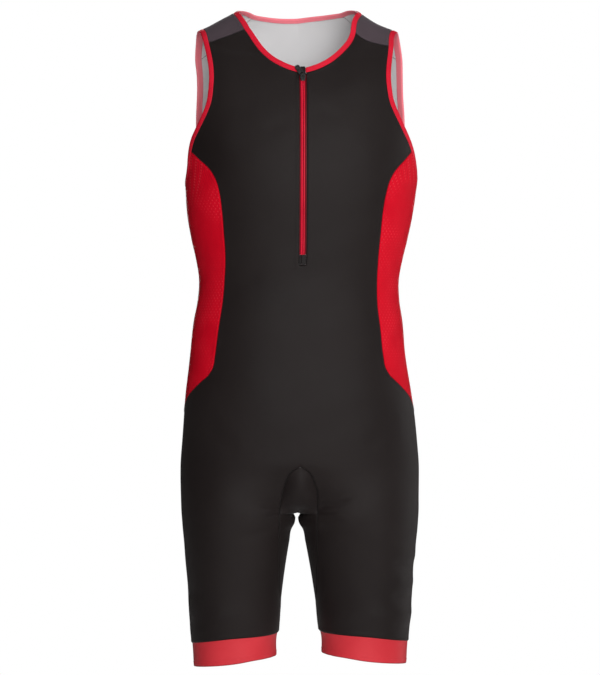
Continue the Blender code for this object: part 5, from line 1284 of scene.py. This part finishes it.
def addTab(name, half, top, bottom, rise, columns, node):
    # a padded cloth tab on the centre front: its outer face follows a rise, its back is plain
    rows = zipTab["rows"]
    across, down = np.meshgrid(np.linspace(-1, 1, columns), np.linspace(0, 1, rows))
    z = top + (bottom - top) * down
    width = half(down)
    outside = frontPlace(across * width, z, rise(across * width, down, across))
    inside = frontPlace(across * width, z, np.full_like(z, -zipTab["thick"]))
    count = rows * columns
    faces = [gridFaces(rows, columns, 0), gridFaces(rows, columns, count, turned=True)]
    edge = np.concatenate([np.arange(columns), np.arange(2, rows + 1) * columns - 1,
                           np.arange(count - 2, count - columns - 1, -1), np.arange(rows - 2, 0, -1) * columns])
    faces.append(np.stack([edge, np.roll(edge, -1), np.roll(edge, -1) + count, edge + count], -1))
    points = np.concatenate([outside.reshape(-1, 3), inside.reshape(-1, 3)])
    item = newObject(name, points, np.concatenate(faces), slots=[blackPlastic])
    facesOut(item)
    return worn(item, "zip_black", node)


slider = {"z": -0.1040, "width": 0.0082, "length": 0.0108, "thick": 0.0022, "lift": 0.0011, "bridgeWidth": 0.0016,
          "bridgeHalf": 0.0022, "bridgeWall": 0.0010, "bridgeEnd": 0.0008, "pivotUp": 0.0020, "pivotRise": 0.0014,
          "shoulder": 0.0009, "crown": 0.0003, "bevel": 0.00035, "bridgeBevel": 0.0003}
pull = {"lean": 30.0, "tilt": 5.0, "length": 0.0182, "corner": 0.0022, "width": 0.0070, "thick": 0.0014,
        "bar": 0.00055, "eyeWidth": 0.0048, "eyeLength": 0.0046, "rim": 0.0009, "recess": 0.00035, "bevel": 0.00022,
        "wellGap": 0.0016, "wellCorner": 0.0032,
        "ribs": 5, "ribStart": 0.0058, "ribPitch": 0.00115, "ribHalf": 0.00028, "ribBevel": 0.00012}


def sliderFrame():
    up = Vector(frontPlace(0.0, np.array([slider["z"] + 0.003]), 0.0)[0]) - Vector(
        frontPlace(0.0, np.array([slider["z"] - 0.003]), 0.0)[0])
    up.normalize()
    out = Vector((1.0, 0.0, 0.0)).cross(up).normalized()
    across = up.cross(out)
    place = Matrix((across, up, out)).transposed().to_4x4()
    place.translation = Vector(frontPlace(0.0, np.array([slider["z"]]), np.array([slider["lift"]]))[0])
    return place


def prism(mesh, outline, low, high, inset=1.0):
    # a closed outline in the slider's frame, raised from low to high
    foot = [mesh.verts.new((x, u, low)) for x, u in outline]
    head = [mesh.verts.new((x * inset, u * inset, high)) for x, u in outline]
    count = len(outline)
    for k in range(count):
        mesh.faces.new((foot[k], foot[(k + 1) % count], head[(k + 1) % count], head[k]))
    mesh.faces.new(foot[::-1])
    return mesh.faces.new(head)


def finishHard(name, mesh, place, bevel, body, *nodes):
    bmesh.ops.recalc_face_normals(mesh, faces=mesh.faces)
    bmesh.ops.transform(mesh, matrix=place, verts=mesh.verts)
    data = bpy.data.meshes.new(name)
    mesh.to_mesh(data)
    mesh.free()
    data.materials.append(blackEnamel)
    data.shade_smooth()
    data.set_sharp_from_angle(angle=math.radians(40))
    item = addObject(name, data)
    rounded = item.modifiers.new("rounded edges", "BEVEL")
    rounded.width, rounded.segments, rounded.limit_method = bevel, 3, "ANGLE"
    rounded.angle_limit, rounded.harden_normals = math.radians(35), True
    worn(item, "zip_metal", *nodes, body=body)


def addSlider(place):
    half, length, top = slider["width"] / 2, slider["length"] / 2, slider["thick"]
    outline = [(-half * 0.62, -length), (half * 0.62, -length), (half, -length * 0.1), (half, length * 0.7),
               (half * 0.6, length), (-half * 0.6, length), (-half, length * 0.7), (-half, -length * 0.1)]
    mesh = bmesh.new()
    cap = prism(mesh, outline, 0.0, top, 0.93)
    bmesh.ops.inset_region(mesh, faces=[cap], thickness=slider["shoulder"], depth=0.0)
    bmesh.ops.translate(mesh, vec=(0.0, 0.0, slider["crown"]), verts=list(cap.verts))
    finishHard("zip_slider", mesh, place, slider["bevel"], "suit", "slider")
    archTop, wall, reach = top + 2 * slider["pivotRise"], slider["bridgeWall"], slider["bridgeHalf"]
    end, inside, root = slider["bridgeEnd"], reach - wall, top - 0.0004
    profile = [(-reach, root), (-reach, archTop), (end - reach, archTop + wall), (reach - end, archTop + wall),
               (reach, archTop), (reach, root), (inside, root), (inside, archTop), (-inside, archTop), (-inside, root)]
    bridge = bmesh.new()
    rings = [[bridge.verts.new((x, slider["pivotUp"] + u, out)) for u, out in profile]
             for x in (-slider["bridgeWidth"] / 2, slider["bridgeWidth"] / 2)]
    for k in range(len(profile)):
        m = (k + 1) % len(profile)
        bridge.faces.new((rings[0][k], rings[0][m], rings[1][m], rings[1][k]))
    for a, b, c, d in ((0, 1, 8, 9), (1, 2, 3, 8), (3, 4, 7, 8), (4, 5, 6, 7)):
        bridge.faces.new([rings[0][i] for i in (a, b, c, d)])
        bridge.faces.new([rings[1][i] for i in (d, c, b, a)])
    finishHard("zip_slider_bridge", bridge, place, slider["bridgeBevel"], "suit")


def addPull(place):
    # a flat pull with a raised rim, a sunk middle with grip ribs, and an eye round the slider's bridge
    pivot = Vector((0.0, slider["pivotUp"], slider["thick"] + slider["pivotRise"]))
    lean = Matrix.Translation(pivot) @ Matrix.Rotation(math.radians(pull["lean"]), 4, "Z")
    turned = place @ lean @ Matrix.Rotation(math.radians(-pull["tilt"]), 4, "X")
    half, bar, eye, length = pull["width"] / 2, pull["bar"], pull["eyeWidth"] / 2, pull["length"]
    low, high = -bar, pull["thick"] / 2
    mesh = bmesh.new()
    corner = length - pull["corner"]
    outline = [(-half * 0.78, -bar), (half * 0.78, -bar), (half, pull["eyeLength"]), (half, corner),
               (half * 0.5, length), (-half * 0.5, length), (-half, corner), (-half, pull["eyeLength"])]
    hole = [(-eye, bar), (eye, bar), (eye, pull["eyeLength"]), (-eye, pull["eyeLength"])]
    rim, wellFoot, wellTop = pull["rim"], pull["eyeLength"] + pull["wellGap"], length - pull["wellCorner"]
    well = [(-half + rim, wellFoot), (half - rim, wellFoot), (half - rim, wellTop), (half * 0.42, length - rim * 1.3),
            (-half * 0.42, length - rim * 1.3), (-half + rim, wellTop)]
    rings = {}
    for label, ring in (("out", outline), ("hole", hole)):
        rings[label, 0] = [mesh.verts.new((x, u, low)) for x, u in ring]
        rings[label, 1] = [mesh.verts.new((x, u, bar if u < pull["eyeLength"] else high)) for x, u in ring]
    rings["well", 1] = [mesh.verts.new((x, u, high)) for x, u in well]
    rings["floor", 1] = [mesh.verts.new((x * 0.94, u, high - pull["recess"])) for x, u in well]
    for label, turn in (("out", 1), ("hole", -1)):
        foot, head = rings[label, 0], rings[label, 1]
        count = len(foot)
        for k in range(count):
            m = (k + 1) % count
            mesh.faces.new((foot[k], foot[m], head[m], head[k])[::turn])
    for level in (0, 1):
        o, h = rings["out", level], rings["hole", level]
        for face in ((o[0], o[1], h[1], h[0]), (o[1], o[2], h[2], h[1]), (o[7], o[0], h[0], h[3])):
            mesh.faces.new(face)
    o, h = rings["out", 0], rings["hole", 0]
    mesh.faces.new((*o[2:], h[3], h[2]))
    o, h, w, f = rings["out", 1], rings["hole", 1], rings["well", 1], rings["floor", 1]
    for face in ((h[3], h[2], w[1], w[0]), (h[2], o[2], w[1]), (h[3], w[0], o[7])):
        mesh.faces.new(face)
    for k in range(1, 6):
        mesh.faces.new((o[k + 1], o[k + 2], w[(k + 1) % 6], w[k]))
    for k in range(6):
        m = (k + 1) % 6
        mesh.faces.new((w[k], w[m], f[m], f[k]))
    mesh.faces.new(f)
    finishHard("pull_tab_plate", mesh, turned, pull["bevel"], "pull", "pull_tab")
    ribs, side = bmesh.new(), half - rim * 1.5
    for k in range(pull["ribs"]):
        u = length - pull["ribStart"] - k * pull["ribPitch"]
        low, top = u - pull["ribHalf"], u + pull["ribHalf"]
        prism(ribs, [(-side, low), (side, low), (side, top), (-side, top)],
              high - pull["recess"] - 0.0001, high - 0.00008)
    finishHard("pull_tab_ribs", ribs, turned, pull["ribBevel"], "pull")


# Making the suit
frontSheets, backSheets = bodySheets(bodyPanel, -1), bodySheets(bodyPanel, 1)
front = clothPiece("front_cloth", frontSheets + [slotFoot(1), slotFoot(-1)], blackKnit, "front_panel", "black_cloth")
back = clothPiece("back_cloth", backSheets, blackKnit, "back_panel", "black_cloth")
print("front and back done")
gussets = gussetSheets()
gusset = clothPiece("gusset_cloth", gussets, blackKnit, "gusset", "black_cloth")
labels = {1: "left", -1: "right"}
sides, yokes, bands, bandParts, armBindings, grooves = {}, {}, {}, {}, {}, []
for hand, label in labels.items():
    bandParts[hand] = bandSheet(hand)
    sides[hand] = clothPiece("side_cloth_" + label, [sideSheet(hand)], redMesh, "side_panel_" + label,
                             "side_cloth", rim=1)
    yokes[hand] = clothPiece("yoke_cloth_" + label, [yokeSheet(hand)], heatherKnit, "yoke_" + label,
                             "yoke_cloth", rim=1)
    bands[hand] = clothPiece("band_cloth_" + label, [bandParts[hand]], bandKnit, "leg_band_" + label,
                             "gripper_band", legBand["thick"])
    armBindings[hand], groove = sweptBinding("armhole_tape_" + label, *armholePath(hand), True,
                                             np.array(binding["armHole"]) * np.array([hand, 1.0, 1.0]),
                                             "armhole_binding_" + label, binding["broad"])
    grooves.append(groove)
neckBinding, groove = sweptBinding("neck_tape", *neckPath(), False, np.array(binding["neckHole"]), "neck_binding")
grooves.append(groove)
print("panels, yokes, bands and bindings done")

for hand, label in labels.items():
    addZipTape("zip_tape_" + label, hand, "zip_" + label)
for hand, label in labels.items():
    addZipTeeth("zip_teeth_" + label, hand)
addTab("zip_end_tab", endHalf, zipStrip["bottom"] - 0.0004, cut["slotEnd"] + 0.0004, endRise, 41, "zip_end")
addTab("zip_guard_tab", guardHalf, zipTab["guardTop"], zipTab["guardFoot"], guardRise, 25, "zip_guard")
addSlider(sliderFrame())
addPull(sliderFrame())
print("zip done")

# Sewing on black cloth, in black thread
rows = []
for part in frontSheets + backSheets:
    low, yokePart = part["at"] > bodyPanel["gussetRow"], part["across"] >= bodyPanel["neckShare"]
    for edge, inside in ((np.s_[:, -1], np.s_[:, -2]), (np.s_[-1, :], np.s_[-2, :]), (np.s_[low, 0], np.s_[low, 1]),
                         (np.s_[0, yokePart], np.s_[1, yokePart])):
        rows.append(edgeRow(part, edge, inside, stitch["inset"], stitch["seam"]))
for part in frontSheets:
    beside = part["at"] <= bodyPanel["slotRow"]
    for inset in stitch["slotInsets"]:
        rows.append(edgeRow(part, np.s_[beside, 0], np.s_[beside, 1], inset, stitch["slot"]))
for part in gussets:
    rows.append(edgeRow(part, np.s_[:, 0], np.s_[:, 2], stitch["gussetInset"], stitch["seam"]))
    for kind in ("down", "back"):
        rows.append(stitchRow(part["points"][:, 0], part["normals"][:, 0], **stitch[kind]))
# a bar tack under the zip, and a short row on each side of its foot
x, z = np.linspace(-stitch["tackHalf"], stitch["tackHalf"], 9), np.full(9, stitch["tackZ"])
rows.append(stitchRow(frontPlace(x, z, np.zeros_like(z)), outwardAt(np.full_like(z, -1.0), z, 1), **stitch["tack"]))
for x in (-stitch["placketX"], stitch["placketX"]):
    z = np.linspace(stitch["placketTop"], stitch["placketFoot"], 10)
    rows.append(stitchRow(frontPlace(np.full_like(z, x), z, np.full_like(z, 0.0001)),
                          outwardAt(np.full_like(z, -1.0), z, 1), **stitch["placket"]))
blackSewing = sewn("black_sewing", rows, blackThread, "black_cloth")

# Sewing on the red pieces, in red thread
rows = [ringRow(*groove, stitch["binding"]) for groove in grooves[:2]]
rows.append(stitchRow(*grooves[2], **stitch["binding"]))
for part in bandParts.values():
    seam = part["seam"][:, 0]
    row = np.argmin(np.abs(seam - stitch["bandInset"]) + (np.arange(len(seam)) < stitch["bandTopRows"]))
    rows.append(ringRow(part["points"][row], part["normals"][row], stitch["band"]))
sewn("red_sewing", rows, redThread, "binding_cloth")
print("sewing done")


# The flat cuts, in metres: width, length and area of what shows, before it is stretched on
cuts = {
    "front": (front, (0.480, 0.880), 0.271, [neckBinding, blackSewing]),
    "back": (back, (0.500, 0.900), 0.324, []),
    "gusset": (gusset, (0.290, 0.390), 0.035, []),
    "side left": (sides[1], (0.125, 0.360), 0.0328, [armBindings[1]]),
    "side right": (sides[-1], (0.125, 0.360), 0.0328, [armBindings[-1]]),
    "yoke left": (yokes[1], (0.062, 0.150), 0.0077, []),
    "yoke right": (yokes[-1], (0.062, 0.150), 0.0077, []),
    "band left": (bands[1], (0.415, 0.034), 0.0141, []),
    "band right": (bands[-1], (0.415, 0.034), 0.0141, []),
}


def surfaceArea(item):
    shown = item.evaluated_get(bpy.context.evaluated_depsgraph_get()).to_mesh()
    return sum(face.area for face in shown.polygons) / 2


for label, (piece, flat, area, along) in cuts.items():
    print("cut", label, "flat", flat, "area", area, "surface", round(surfaceArea(piece), 4))

# Stage: pale floor, soft lights and the photo's view
stage = {"floorZ": -1.42, "floorRadius": 3.0, "cameraY": -4.2, "cameraZ": -0.472, "lens": 154.48,
         "worldShown": (1.0, 1.0, 1.0), "worldLight": 0.045}


def addFloor():
    # a flat disc of rings, each ring a circle of points
    ringCount, corners = 6, 64
    angle = np.linspace(0, 2 * math.pi, corners, endpoint=False)
    radius = np.linspace(0.0, stage["floorRadius"], ringCount + 1)[1:]
    points = np.stack([radius[:, None] * np.cos(angle), radius[:, None] * np.sin(angle),
                       np.full((ringCount, corners), stage["floorZ"])], axis=-1).reshape(-1, 3)
    faces = gridFaces(ringCount, corners, 0, True).tolist() + [list(range(corners))[::-1]]
    floor = newObject("pale_floor", points, faces)
    material, shader = newFinish("pale_floor", {})
    place = addNode(material, "ShaderNodeTexCoord").outputs["Object"]
    shade = mixColour(material, noise(material, place, 3.0), (0.80, 0.80, 0.80), (0.84, 0.84, 0.84))
    material.node_tree.links.new(shade, shader.inputs["Base Color"])
    shader.inputs["Roughness"].default_value = 0.9
    floor.data.materials.append(material)


def addLight(name, place, target, width, height, power, colour=(1.0, 1.0, 1.0)):
    lamp = bpy.data.lights.new(name, "AREA")
    lamp.shape, lamp.size, lamp.size_y, lamp.energy, lamp.color = "RECTANGLE", width, height, power, colour
    item = addObject(name, lamp)
    item.location = place
    item.rotation_euler = (Vector(target) - Vector(place)).to_track_quat("-Z", "Y").to_euler()


def addWorld():
    world = bpy.data.worlds.new("studio")
    bpy.context.scene.world = world
    world.use_nodes = True
    tree = world.node_tree
    # the camera sees white, and the cloth is lit by a faint cool sky
    shown, light = tree.nodes["Background"], tree.nodes.new("ShaderNodeBackground")
    shown.inputs["Color"].default_value = (*stage["worldShown"], 1.0)
    light.inputs["Color"].default_value = (0.97, 0.985, 1.0, 1.0)
    light.inputs["Strength"].default_value = stage["worldLight"]
    mix, path = tree.nodes.new("ShaderNodeMixShader"), tree.nodes.new("ShaderNodeLightPath")
    tree.links.new(path.outputs["Is Camera Ray"], mix.inputs[0])
    tree.links.new(light.outputs[0], mix.inputs[1])
    tree.links.new(shown.outputs[0], mix.inputs[2])
    tree.links.new(mix.outputs[0], tree.nodes["World Output"].inputs["Surface"])


addFloor()
addWorld()
addLight("key", (1.9, -2.4, 0.5), (0.0, 0.0, -0.45), 1.2, 2.2, 22.0, (1.0, 0.99, 0.975))
addLight("front", (0.4, -3.3, 0.1), (0.0, 0.0, -0.4), 1.2, 1.4, 89.0)
addLight("top", (0.0, -0.2, 2.2), (0.0, 0.0, -0.2), 1.8, 1.4, 18.0)
addLight("rimRight", (1.9, 0.9, -0.2), (0.0, 0.0, -0.5), 0.5, 2.0, 12.0)
addLight("back", (0.0, 2.8, 0.4), (0.0, 0.0, -0.4), 2.0, 1.8, 44.0)

camera = bpy.data.cameras.new("camera")
camera.lens, camera.sensor_width, camera.sensor_fit = stage["lens"], 36.0, "AUTO"
cameraObject = addObject("camera", camera)
cameraObject.location = (0.0, stage["cameraY"], stage["cameraZ"])
cameraObject.rotation_euler = (math.pi / 2, 0.0, 0.0)
bpy.context.scene.camera = cameraObject
bpy.context.scene.view_settings.view_transform = "Standard"
print("stage done")
